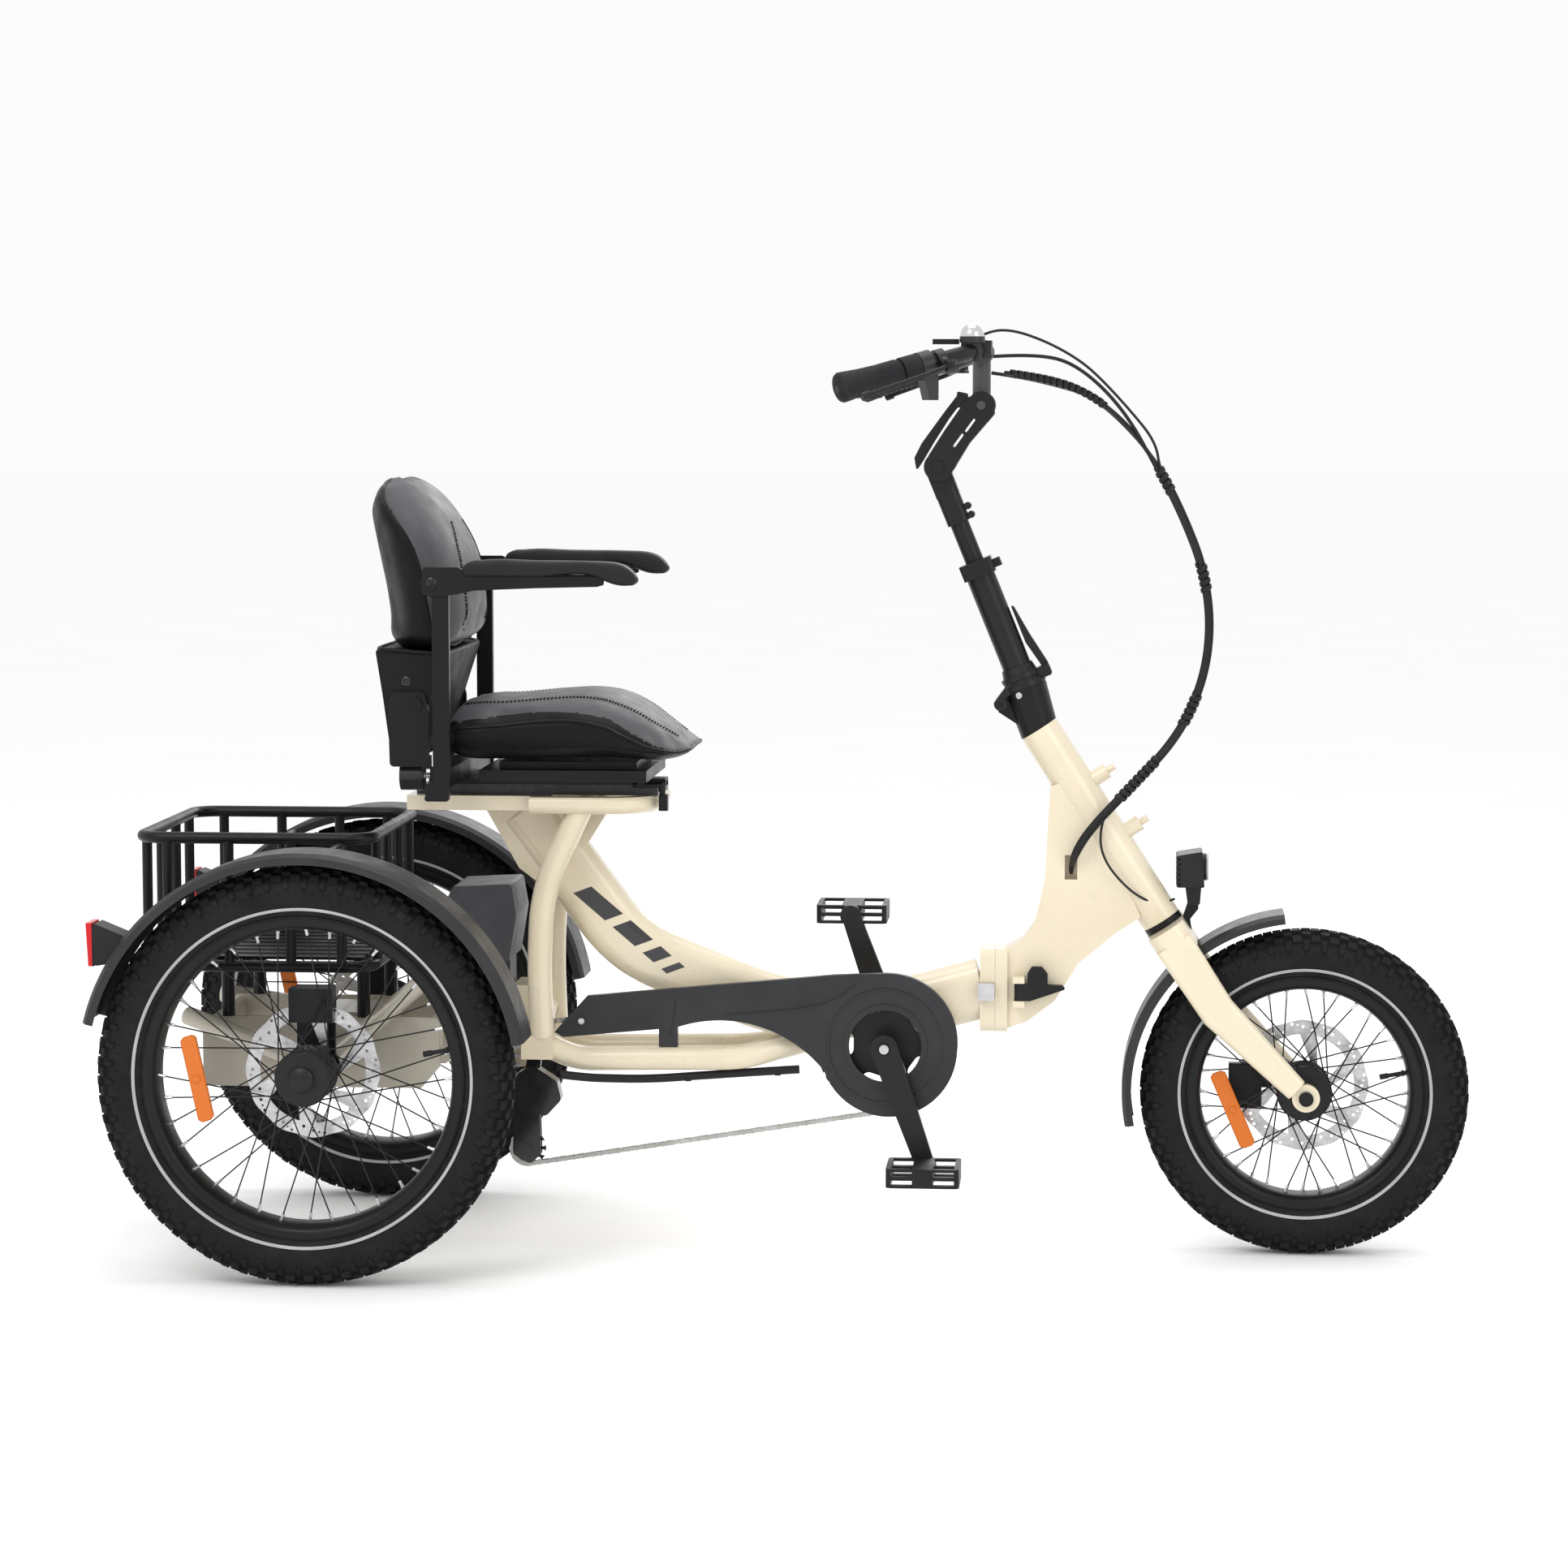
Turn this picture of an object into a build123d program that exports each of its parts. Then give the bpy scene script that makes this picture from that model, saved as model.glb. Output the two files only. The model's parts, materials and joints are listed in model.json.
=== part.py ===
from build123d import *
from math import atan2, cos, degrees, hypot, pi, radians, sin
import os

# Folding electric tricycle. Millimetres. +X forward, +Y to the rider's left, +Z up.
# Stations are measured from the rear axle (x), the middle plane (y) and the ground (z).
# The last step moves everything so that the origin is under the middle of the tricycle.

# ---- overall sizes
wheelbase = 1339
half_track = 315
rear_radius = 282
front_radius = 227
rear_overhang = 311
seat_height = 686
bar_height = 1247
head_angle = 57.15

# ---- wheels
tyre_half_width = 38
tyre_wall = 6
rim_half_width = 30
rim_depth = 15
tyre_height = 69
spoke_count = 36
spoke_r = 1.2
flange_r = 38
flange_spread = 26
rotor_r = 92
rotor_band = 19
rotor_offset = 46
axle_r = 8.5
running_clearance = 0.05
seat_gap = 0.3

# ---- frame
main_depth = 84
main_width = 54
strut_r = 17
rail_r = 17
rail_y = 56
loop_r = 14
platform_top = 637.5
hinge_x = 911
hinge_bottom = 307
hinge_top = 424
hinge_flange = 17
hinge_pin_y = 40
hinge_pin_r = 5
head_r = 28
steerer_r = 15
head_length = 315

# ---- drive
crank_x = 760.7
crank_z = 292
crank_length = 172
crank_angle = -70.5
crank_y = 82
chain_pitch = 12.7
chain_y = -45
chainring_teeth = 46
cog_teeth = 18
jockey_teeth = 11
cassette_x = 205
cassette_z = 268
upper_jockey = (258, 222)
lower_jockey = (259, 139)
pedal_width = 92

# ---- fenders
fender_gap = 18
fender_wall = 3
fender_half_width = 46

# ---- basket
basket_half_width = 190
basket_tube_r = 8
basket_top = 594
basket_floor = 400
basket_rear = -264
basket_front = 72

# ---- seat
seat_half_width = 188
arm_y = 196
arm_pivot = (157, 931)
back_pivot = (127.5, 770)

# ---- mast and bars
mast_r = 20
post_r = 13
mast_top = 225
fold_pivot = (917, 763)
stem_pivot = (829.6, 1089.7)
bar_pivot = (888, 1174)
bar_r = 11.1
grip_r = 17

chainring_r = chain_pitch / (2 * sin(pi / chainring_teeth))
cog_r = chain_pitch / (2 * sin(pi / cog_teeth))
jockey_r = chain_pitch / (2 * sin(pi / jockey_teeth))
nodes = {}


# ---- makers
def box(x0, x1, y0, y1, z0, z1):
    """A block between two x, two y and two z stations."""
    return Pos((x0 + x1) / 2, (y0 + y1) / 2, (z0 + z1) / 2) * Box(x1 - x0, y1 - y0, z1 - z0)


def disc(x, z, y0, y1, r):
    """A round disc or shaft across the tricycle, from y0 to y1."""
    return Pos(x, (y0 + y1) / 2, z) * Rot(90, 0, 0) * Cylinder(r, y1 - y0)


def rod(a, b, r):
    """A straight round rod from point a to point b."""
    a, b = Vector(a), Vector(b)
    return extrude(Plane(origin=a, z_dir=b - a) * Circle(r), (b - a).length)


def plate(points, y0, y1, corner=0):
    """A side-view outline of (x, z) points, rounded at its corners, from y0 to y1."""
    face = make_face(Polyline(*points, close=True))
    if corner:
        face = fillet(face.vertices(), corner)
    across = Plane((0, y0, 0), x_dir=(1, 0, 0), z_dir=(0, -1, 0))
    return extrude(across * face, y1 - y0, dir=(0, 1, 0))


def bend_radii(points, most=1e9):
    """The largest even bend at each corner of a route, or less where a limit is given."""
    radii = []
    for a, b, c in zip(points, points[1:], points[2:]):
        a, b, c = Vector(a), Vector(b), Vector(c)
        turn = radians((b - a).get_angle(c - b))
        shorter = min((b - a).length, (c - b).length)
        radii.append(min(most, 0.45 * shorter / abs(sin(turn / 2) / cos(turn / 2))))
    return radii


def pipe(points, r, most=1e9):
    """A round tube along a route of straight runs and tangent bends."""
    path = FilletPolyline(*points, radius=bend_radii(points, most))
    return sweep(Plane(origin=path @ 0, z_dir=path % 0) * Circle(r), path=path)


def mirror_y(shape):
    """The same piece on the other side of the middle plane."""
    return mirror(shape, about=Plane.XZ)


def add(node, *shapes):
    """Put shapes in a node's list of solids."""
    for shape in shapes:
        nodes.setdefault(node, []).extend(shape.solids())


def spin_section(x, y, z, edges):
    """Turn a closed (radius, offset) outline about an axle line across the tricycle."""
    section = Plane((x, y, z), x_dir=(1, 0, 0), z_dir=(0, 0, 1)) * make_face(edges)
    return revolve(section, Axis((x, y, z), (0, 1, 0)))


# ---- wheels: tyre, rim with spokes, hub with brake rotor
def make_wheel(name, x, y, radius, rotor_side, axle_bore, stub):
    """A wheel with crossed spokes; rotor_side is -1 or 1 along Y."""
    z, seat_r = radius, radius - tyre_height
    rim_r = seat_r - rim_depth
    out, ins = tyre_half_width, tyre_half_width - tyre_wall
    shoulder = radius - 17
    tyre = [ThreePointArc((seat_r, 26), (seat_r + 32, out), (shoulder, out - 5)),
            ThreePointArc((shoulder, out - 5), (radius, 0), (shoulder, 5 - out)),
            ThreePointArc((shoulder, 5 - out), (seat_r + 32, -out), (seat_r, -26)),
            Line((seat_r, -26), (seat_r, -20)),
            ThreePointArc((seat_r, -20), (seat_r + 32, -ins), (shoulder - 3, 5 - ins)),
            ThreePointArc((shoulder - 3, 5 - ins), (radius - 10, 0), (shoulder - 3, ins - 5)),
            ThreePointArc((shoulder - 3, ins - 5), (seat_r + 32, ins), (seat_r, 20)),
            Line((seat_r, 20), (seat_r, 26))]
    add(name + "_tyre", spin_section(x, y, z, tyre))

    rim = Polyline((rim_r, -17), (rim_r + 4, -rim_half_width), (seat_r, -rim_half_width), (seat_r, -17),
                   (seat_r - 8, -12), (seat_r - 8, 12), (seat_r, 17), (seat_r, rim_half_width),
                   (rim_r + 4, rim_half_width), (rim_r, 17), close=True)
    add(name + "_rim", spin_section(x, y, z, rim))
    step = 2 * pi / spoke_count
    for i in range(spoke_count):
        side = 1 if i % 2 else -1
        lead = 1 if (i // 2) % 2 else -1
        rim_angle = i * step
        hub_angle = rim_angle + lead * radians(62)
        hub_y = y + side * (flange_spread + 1.8 * lead)
        rim_y = y + side * (8 + 3 * lead)
        start_r, end_r = flange_r + spoke_r + seat_gap, rim_r - 0.1
        a = (x + start_r * cos(hub_angle), hub_y, z + start_r * sin(hub_angle))
        b = (x + end_r * cos(rim_angle), rim_y, z + end_r * sin(rim_angle))
        add(name + "_rim", rod(a, b, spoke_r))

    hub = disc(x, z, y - flange_spread - 4, y + flange_spread + 4, 25)
    for side in (-1, 1):
        hub += disc(x, z, y + side * flange_spread - 4, y + side * flange_spread + 4, flange_r)
    cap = sorted((y - rotor_side * (flange_spread + 4), y - rotor_side * (flange_spread + 17)))
    hub += disc(x, z, *cap, 17)
    neck = sorted((y + rotor_side * (flange_spread + 3), y + rotor_side * (rotor_offset - 1)))
    hub += disc(x, z, *neck, 22)
    if axle_bore:
        hub -= disc(x, z, y - 60, y + 60, axle_bore)
    if stub:
        inner = sorted((y + rotor_side * (rotor_offset - 1), y + rotor_side * stub))
        hub += disc(x, z, *inner, axle_r)
    add(name + "_hub", hub)
    ring = Circle(rotor_r) - Circle(rotor_r - rotor_band)
    spider = Circle(30)
    for i in range(5):
        spider += Rot(0, 0, 72 * i) * Pos(50, 14) * Rot(0, 0, 18) * Rectangle(64, 9)
    holes = [Rot(0, 0, 15 * i) * Pos(rotor_r - 6 - 6 * (i % 2), 0) * Circle(2.6) for i in range(24)]
    rotor = ring + (spider & Circle(rotor_r - 4)) - Sketch(children=holes)
    rotor -= Circle(axle_bore + 6 if axle_bore else axle_r + 0.1)
    face_y = y + rotor_side * (rotor_offset - 1)
    rotor_plane = Plane((x, face_y, z), x_dir=(1, 0, 0), z_dir=(0, rotor_side, 0))
    add(name + "_hub", extrude(rotor_plane * rotor, 2))


stub_length = 100
make_wheel("rear_right", 0, -half_track, rear_radius, 1, 0, stub_length)
make_wheel("rear_left", 0, half_track, rear_radius, -1, 0, stub_length)
front_axle_r = 6
make_wheel("front", wheelbase, 0, front_radius, 1, front_axle_r + running_clearance, 0)

# ---- rear half of the frame
main_path = FilletPolyline((255, 0, 612), (398, 0, 418), (620, 0, 331), (800, 0, 340),
                           (hinge_x - hinge_flange, 0, 366), radius=[190, 300, 300])
main_section = Plane(origin=main_path @ 0, x_dir=(0, 1, 0), z_dir=main_path % 0)
rear = sweep(main_section * RectangleRounded(main_width, main_depth, 24), path=main_path)
rear -= box(150, 400, -60, 60, platform_top - 22, 720)
rear += plate([(198, 616), (374, 616), (330, 545), (300, 490), (246, 530)], -22, 22)
platform = box(99.5, 300, -88, 88, platform_top - 20, platform_top) - box(130, 190, -60, 60, 600, 650)
rear += platform
loop = [(272, -96, 628), (439, -96, 628), (439, 96, 628), (272, 96, 628)]
rear += pipe(loop, loop_r, 62)
rear -= box(250, 460, -130, 130, platform_top, 660)
for side in (-1, 1):
    rear += pipe([(342, side * 84, 624), (286, side * 74, 505), (280, side * 72, 400),
                  (284, side * 70, 300)], strut_r)
    rear += pipe([(262, side * 66, 300), (330, side * rail_y, 268), (560, side * rail_y, 272),
                  (650, side * 14, 292)], rail_r, 90)
rear += box(256, 300, -84, 84, 270, 302)
drive_box_rear = 150
rear += plate([(drive_box_rear, 250), (262, 250), (290, 284), (290, 330), (262, 365), (236, 365),
               (236, 330), (drive_box_rear, 330)], -24, 60)
rear += disc(crank_x, crank_z, -34, 34, 24)
rear_flange = box(hinge_x - hinge_flange - 4, hinge_x - 0.15, -30, 30, hinge_bottom, hinge_top)
rear += fillet(rear_flange.edges().filter_by(Axis.X), 14)
knuckle_third = (hinge_top - hinge_bottom - 24) / 3
knuckle_low = hinge_bottom + 12
for i in (0, 2):
    z0 = knuckle_low + i * knuckle_third
    ear = Pos(hinge_x, hinge_pin_y, z0 + knuckle_third / 2) * Cylinder(10, knuckle_third - 0.6)
    ear += box(hinge_x - hinge_flange, hinge_x - 4, 20, hinge_pin_y, z0 + 0.3, z0 + knuckle_third - 0.3)
    rear += ear
rear -= box(hinge_x - 0.15, hinge_x + 30, -40, hinge_pin_y - 10.2, hinge_bottom - 5, hinge_top + 5)
rear -= Pos(hinge_x, hinge_pin_y, 365) * Cylinder(hinge_pin_r + running_clearance, 200)
rear -= disc(crank_x, crank_z, -60, 60, 10 + running_clearance)
add("rear_frame", rear)

# ---- axle housing: cross tube, centre box, side plates and braces
side_plate_y = 107
side_plate_top = 330
bearing_y = half_track - rotor_offset - 22
housing = disc(0, rear_radius, -bearing_y, bearing_y, 24)
housing += box(-62, 62, -62, 62, 236, 330)
for side in (-1, 1):
    y0, y1 = sorted((side * (side_plate_y - 3), side * (side_plate_y + 3)))
    housing += plate([(-186, 232), (120, 232), (146, 262), (146, side_plate_top),
                      (-186, side_plate_top)], y0, y1, 6)
    housing += rod((-6, side * (bearing_y - 20), 282), (-206, side * 112, 330), 13)
    housing += rod((6, side * (bearing_y - 20), 282), (120, side * 112, 378), 13)
    housing -= disc(0, rear_radius, *sorted((side * 190, side * 300)), axle_r + running_clearance)
    housing += rod((120, side * 112, 378), (150, side * 96, 404), 13)
housing += box(-182, -170, -side_plate_y, side_plate_y, 290, 324)
housing += box(128, drive_box_rear - seat_gap, -side_plate_y, side_plate_y, 290, 324)
housing -= box(drive_box_rear - seat_gap, 300, -24.3, 60.3, 200, 400)
add("axle_housing", housing)


def chain_layout():
    """Chain line: two plate strips round chainring, cog and both jockey wheels, with pins."""
    ring, cog = (crank_x, crank_z), (cassette_x, cassette_z)
    wheels = [(ring, chainring_r, 1), (cog, cog_r, 1), (upper_jockey, jockey_r, -1),
              (lower_jockey, jockey_r, 1)]
    spans = []
    for (c0, r0, s0), (c1, r1, s1) in zip(wheels, wheels[1:] + wheels[:1]):
        dx, dz = c1[0] - c0[0], c1[1] - c0[1]
        far = hypot(dx, dz)
        u = (dx / far, dz / far)
        k = (s1 * r1 - s0 * r0) / far
        rest = (1 - k * k) ** 0.5
        n = (u[0] * k * -1 + u[1] * rest, u[1] * k * -1 - u[0] * rest)
        spans.append(((c0[0] + s0 * r0 * n[0], c0[1] + s0 * r0 * n[1]),
                      (c1[0] + s1 * r1 * n[0], c1[1] + s1 * r1 * n[1])))
    return wheels, spans


wheels_on_chain, chain_spans = chain_layout()
chain_path = []
for i, (a, b) in enumerate(chain_spans):
    chain_path.append(Line(a, b))
    centre, r, sense = wheels_on_chain[(i + 1) % 4]
    c = chain_spans[(i + 1) % 4][0]
    start = atan2(b[1] - centre[1], b[0] - centre[0])
    turn = (atan2(c[1] - centre[1], c[0] - centre[0]) - start) % (2 * pi)
    if sense < 0:
        turn -= 2 * pi
    middle = start + turn / 2
    chain_path.append(ThreePointArc(b, (centre[0] + r * cos(middle), centre[1] + r * sin(middle)), c))
print("chain length", round(sum(e.length for e in chain_path), 1))


def sprocket(x, z, teeth, y0, y1, bore):
    """A toothed wheel: a blank with rounded gaps where the rollers sit, and a bore."""
    pitch_r = chain_pitch / (2 * sin(pi / teeth))
    blank = Circle(pitch_r + 3.4)
    turn = 360 / teeth
    rollers = [Rot(0, 0, turn * (i + 0.5)) * Pos(pitch_r, 0) * Circle(4.2) for i in range(teeth)]
    blank = blank - Sketch(children=rollers)
    if bore:
        blank -= Circle(bore)
    return extrude(Plane((x, y0, z), x_dir=(1, 0, 0), z_dir=(0, 1, 0)) * blank, y1 - y0)


# ---- chain: plate strips either side of the teeth, tied by pins on the straight runs
strip_gap = 2.6
strip_wall = 1.3
strip_half = 4
face = make_face(chain_path)
band = offset(face, strip_half) - offset(face, -strip_half)
for side in (-1, 1):
    y0, y1 = sorted((chain_y + side * strip_gap, chain_y + side * (strip_gap + strip_wall)))
    strip = extrude(Plane((0, y0, 0), x_dir=(1, 0, 0), z_dir=(0, -1, 0)) * band, y1 - y0,
                    dir=(0, 1, 0))
    add("chain", strip)
for a, b in (chain_spans[0], chain_spans[3]):
    run = hypot(b[0] - a[0], b[1] - a[1])
    for i in range(1, int(run / chain_pitch) - 1):
        t = i * chain_pitch / run
        if t * run > 30 and (1 - t) * run > 30:
            px, pz = a[0] + t * (b[0] - a[0]), a[1] + t * (b[1] - a[1])
            add("chain", disc(px, pz, chain_y - strip_gap + 0.02, chain_y + strip_gap - 0.02, 3.4))

# ---- crankset, pedals, cassette and jockey wheels
crank_dir = (cos(radians(crank_angle)), sin(radians(crank_angle)))
chainring = sprocket(crank_x, crank_z, chainring_teeth, chain_y - 1.1, chain_y + 1.1, 9)
for i in range(5):
    window = Rot(0, 0, 36 + 72 * i) * Pos(58, 0) * RectangleRounded(26, 34, 10)
    cutter = Plane((crank_x, chain_y - 3, crank_z), x_dir=(1, 0, 0), z_dir=(0, 1, 0)) * window
    chainring -= extrude(cutter, 6)
crankset = chainring + disc(crank_x, crank_z, -crank_y - 12, crank_y + 12, 10)
crankset += disc(crank_x, crank_z, chain_y - 1.1, chain_y + 7, 26)
for side, sense in ((-1, 1), (1, -1)):
    ex = crank_x + sense * crank_length * crank_dir[0]
    ez = crank_z + sense * crank_length * crank_dir[1]
    y0, y1 = sorted((side * crank_y, side * (crank_y + 12)))
    arm_plane = Plane((crank_x, y0, crank_z), x_dir=(sense * crank_dir[0], 0, sense * crank_dir[1]),
                      z_dir=(0, 1, 0))
    arm = Polygon((-4, -19), (crank_length, -13), (crank_length, 13), (-4, 19), align=None)
    arm += Circle(19) + Pos(crank_length, 0) * Circle(15)
    crankset += extrude(arm_plane * arm, y1 - y0)
    crankset -= disc(ex, ez, *sorted((side * 60, side * 110)), 4.5)
    name = "pedal_right" if side < 0 else "pedal_left"
    inner, outer = side * (crank_y + 16), side * (crank_y + 16 + pedal_width)
    lo, hi = sorted((inner, outer))
    pedal = box(ex - 50, ex + 50, lo, hi, ez - 13, ez + 13)
    pedal = fillet(pedal.edges().filter_by(Axis.Z), 8)
    for sx in (-1, 1):
        for sz in (-1, 1):
            pedal -= box(*sorted((ex + sx * 14, ex + sx * 43)), lo - 1, hi + 1,
                         *sorted((ez + sz * 2.5, ez + sz * 9)))
        pedal -= box(*sorted((ex + sx * 14, ex + sx * 43)), lo + 9, hi - 9, ez - 20, ez + 20)
    add(name, pedal)
    stub_a, stub_b = sorted((side * (crank_y + 0.5), side * (crank_y + 17)))
    pedal_stub = disc(ex, ez, stub_a, stub_b, 4.5 - running_clearance)
    nodes[name] = [(nodes[name][0] + pedal_stub).solids()[0]]
add("crankset", crankset)
for side in (-1, 1):
    y0, y1 = sorted((side * (crank_y + 12), side * (crank_y + 15)))
    add("crankset", disc(crank_x, crank_z, y0, y1, 8))

cassette_r = 6
cog_step = 5.2
for i, teeth in enumerate((cog_teeth + 2, cog_teeth, cog_teeth - 2, cog_teeth - 4, cog_teeth - 6)):
    y_cog = chain_y + cog_step * (1 - i)
    cog = sprocket(cassette_x, cassette_z, teeth, y_cog - 0.9, y_cog + 0.9, 0)
    nodes["cassette"] = [cog] if i == 0 else nodes["cassette"] + [cog]
core = disc(cassette_x, cassette_z, chain_y - 15.5, 54, cassette_r)
core += disc(cassette_x, cassette_z, chain_y - 3 * cog_step, chain_y + cog_step + 1, 17)
cassette = core
for cog in nodes["cassette"]:
    cassette += cog
nodes["cassette"] = cassette.solids()
nodes["rear_frame"] = [(s - disc(cassette_x, cassette_z, -24.5, 62, cassette_r + running_clearance))
                       .solids()[0] for s in nodes["rear_frame"]]

jockey_bolt = 3
for name, (jx, jz) in (("jockey_upper", upper_jockey), ("jockey_lower", lower_jockey)):
    jockey = sprocket(jx, jz, jockey_teeth, chain_y - 1.1, chain_y + 1.1, 0)
    jockey += disc(jx, jz, chain_y - 3.6, chain_y + 3.6, 8)
    jockey -= disc(jx, jz, chain_y - 9, chain_y + 9, jockey_bolt + running_clearance)
    add(name, jockey)

# ---- derailleur: cage plates, pivots, body and hanger
cage_outline = [(upper_jockey[0] - 16, upper_jockey[1] + 14), (upper_jockey[0] + 18, upper_jockey[1] + 12),
                (lower_jockey[0] + 20, lower_jockey[1] - 8), (lower_jockey[0] + 4, lower_jockey[1] - 22),
                (lower_jockey[0] - 20, lower_jockey[1] - 8)]
cage_out = plate(cage_outline, chain_y - 7.6, chain_y - 5.6, 8)
cage_in = plate(cage_outline, chain_y + 5.6, chain_y + 7.6, 8)
derailleur = cage_out + cage_in
for jx, jz in (upper_jockey, lower_jockey):
    derailleur += disc(jx, jz, chain_y - 9.5, chain_y + 9, jockey_bolt)
    derailleur += disc(jx, jz, chain_y - 9.5, chain_y - 7, 7)
derailleur += disc(upper_jockey[0], upper_jockey[1], chain_y - 26, chain_y - 7.4, 15)
knuckle = plate([(246, 206), (290, 190), (312, 214), (306, 240), (272, 262), (250, 250)],
                chain_y - 40, chain_y - 14, 9)
derailleur += knuckle
derailleur += plate([(256, 236), (278, 240), (282, 269.7), (262, 269.7)], chain_y - 22,
                    chain_y - 15, 3)
add("derailleur", derailleur)

# ---- chain guard over the chainring and the upper run
guard_y = chain_y - 20
guard = make_face([
    Line((300, 306), (312, 299)), Line((312, 299), (470, 314)),
    ThreePointArc((470, 314), (600, 312), (676, 256)),
    ThreePointArc((676, 256), (765, 193), (860, 284)),
    ThreePointArc((860, 284), (836, 361), (762, 393)),
    Line((762, 393), (690, 390)), Line((690, 390), (346, 357)), Line((346, 357), (300, 306))])
guard_plane = Plane((0, guard_y, 0), x_dir=(1, 0, 0), z_dir=(0, -1, 0))
cover = extrude(guard_plane * guard, 12, dir=(0, 1, 0))
inner_face = Plane((0, guard_y + 2.5, 0), x_dir=(1, 0, 0), z_dir=(0, -1, 0)) * offset(guard, -2.5)
cover -= extrude(inner_face, 20, dir=(0, 1, 0))
cover -= disc(crank_x, crank_z, guard_y - 5, guard_y + 5, 52)
cover -= box(270, 700, guard_y + 2.5, guard_y + 30, 190, 312)
rim_ring = disc(crank_x, crank_z, guard_y - 2, guard_y + 2.5, 58) - disc(crank_x, crank_z, guard_y - 5,
                                                                       guard_y + 5, 50)
cover += rim_ring
guard_bolt = (338, 322)
cover += disc(guard_bolt[0], guard_bolt[1], guard_y - 2, guard_y + 1, 7)
cover += box(446, 472, guard_y + 1, guard_y + 14, 287.7, 318)
add("chain_guard", cover)

# ---- hinge pin, frame bolts and seat rails
pin = Pos(hinge_x, hinge_pin_y, (hinge_bottom + hinge_top) / 2) * Cylinder(hinge_pin_r, hinge_top
                                                                        - hinge_bottom - 8)
add("frame_fittings", pin)
rail_top = 652
for side in (-1, 1):
    base = box(110, 446, side * 50 - 17, side * 50 + 17, platform_top, rail_top)
    base -= box(105, 450, side * 50 - 12, side * 50 + 12, platform_top + 4, rail_top - 4)
    base -= box(105, 450, side * 50 - 4, side * 50 + 4, rail_top - 5, rail_top + 5)
    add("frame_fittings", base)

# ---- battery on the frame behind the main tube
battery_face = [(150, 404), (236, 402), (247, 470), (240, 512), (158, 508), (149, 488)]
battery = plate(battery_face, -62, 62, 6)
add("battery", battery)
add("battery", box(158, 232, -20, 40, 330 + seat_gap, 404 - seat_gap))

# ---- basket: top and floor hoops, posts, slats and legs
inside = basket_half_width - basket_tube_r
rail_z = basket_top - basket_tube_r
low_z = basket_floor + 10
hoop_rear, hoop_front = basket_rear + basket_tube_r, basket_front - basket_tube_r


def hoop(z, corner):
    """A closed tube round the basket at one height."""
    plan = RectangleRounded(hoop_front - hoop_rear, 2 * inside, corner)
    path = (Pos((hoop_rear + hoop_front) / 2, 0, z) * plan).wire()
    return sweep(Plane(origin=path @ 0, z_dir=path % 0) * Circle(basket_tube_r), path=path)


basket = hoop(rail_z, 34) + hoop(low_z, 34)
for side in (-1, 1):
    for x in (hoop_rear + 40, hoop_rear + 125, hoop_rear + 210, hoop_front - 40):
        basket += rod((x, side * inside, low_z), (x, side * inside, rail_z), basket_tube_r - 1)
for x in (hoop_rear, hoop_front):
    for y in (-130, -45, 45, 130):
        basket += rod((x, y, low_z), (x, y, rail_z), basket_tube_r - 1)
bearer_x = (-150, 40)
basket_leg_r = 9
for x in bearer_x:
    basket += rod((x, -inside, low_z), (x, inside, low_z), basket_tube_r - 1)
add("basket", basket)
slat_count, slat_pitch, slat_width, slat_wall = 9, 38, 26, 4
slat_top = low_z + basket_tube_r - 1 + slat_wall + seat_gap
for i in range(slat_count):
    y = (i - (slat_count - 1) / 2) * slat_pitch
    add("basket", box(hoop_rear + 14, hoop_front - 14, y - slat_width / 2, y + slat_width / 2,
                      slat_top - slat_wall, slat_top))
for x in bearer_x:
    for y in (-side_plate_y, side_plate_y):
        leg_foot = (x, y, side_plate_top + seat_gap)
        leg_head = (x, y, low_z - basket_tube_r + 1 - seat_gap)
        add("basket", rod(leg_foot, leg_head, basket_leg_r))

# ---- rear fenders, tail lights and brake calipers
fender_in = rear_radius + fender_gap
fender_out = fender_in + fender_wall


def fender_band(x, z, inner_r, half, start, end, lip):
    """A channel-shaped band over a wheel, from one angle above level to the other."""
    outer_r = inner_r + fender_wall
    line = Polyline((inner_r, half - fender_wall), (inner_r, fender_wall - half), (inner_r - lip,
                    fender_wall - half), (inner_r - lip, -half), (outer_r - 5, -half), (outer_r, 8 - half),
                    (outer_r, half - 8), (outer_r - 5, half), (inner_r - lip, half),
                    (inner_r - lip, half - fender_wall), close=True)
    band = revolve(make_face(line), Axis((0, 0, 0), (0, -1, 0)), revolution_arc=end - start)
    return Pos(x, 0, z) * Rot(0, -start, 0) * band


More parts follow.
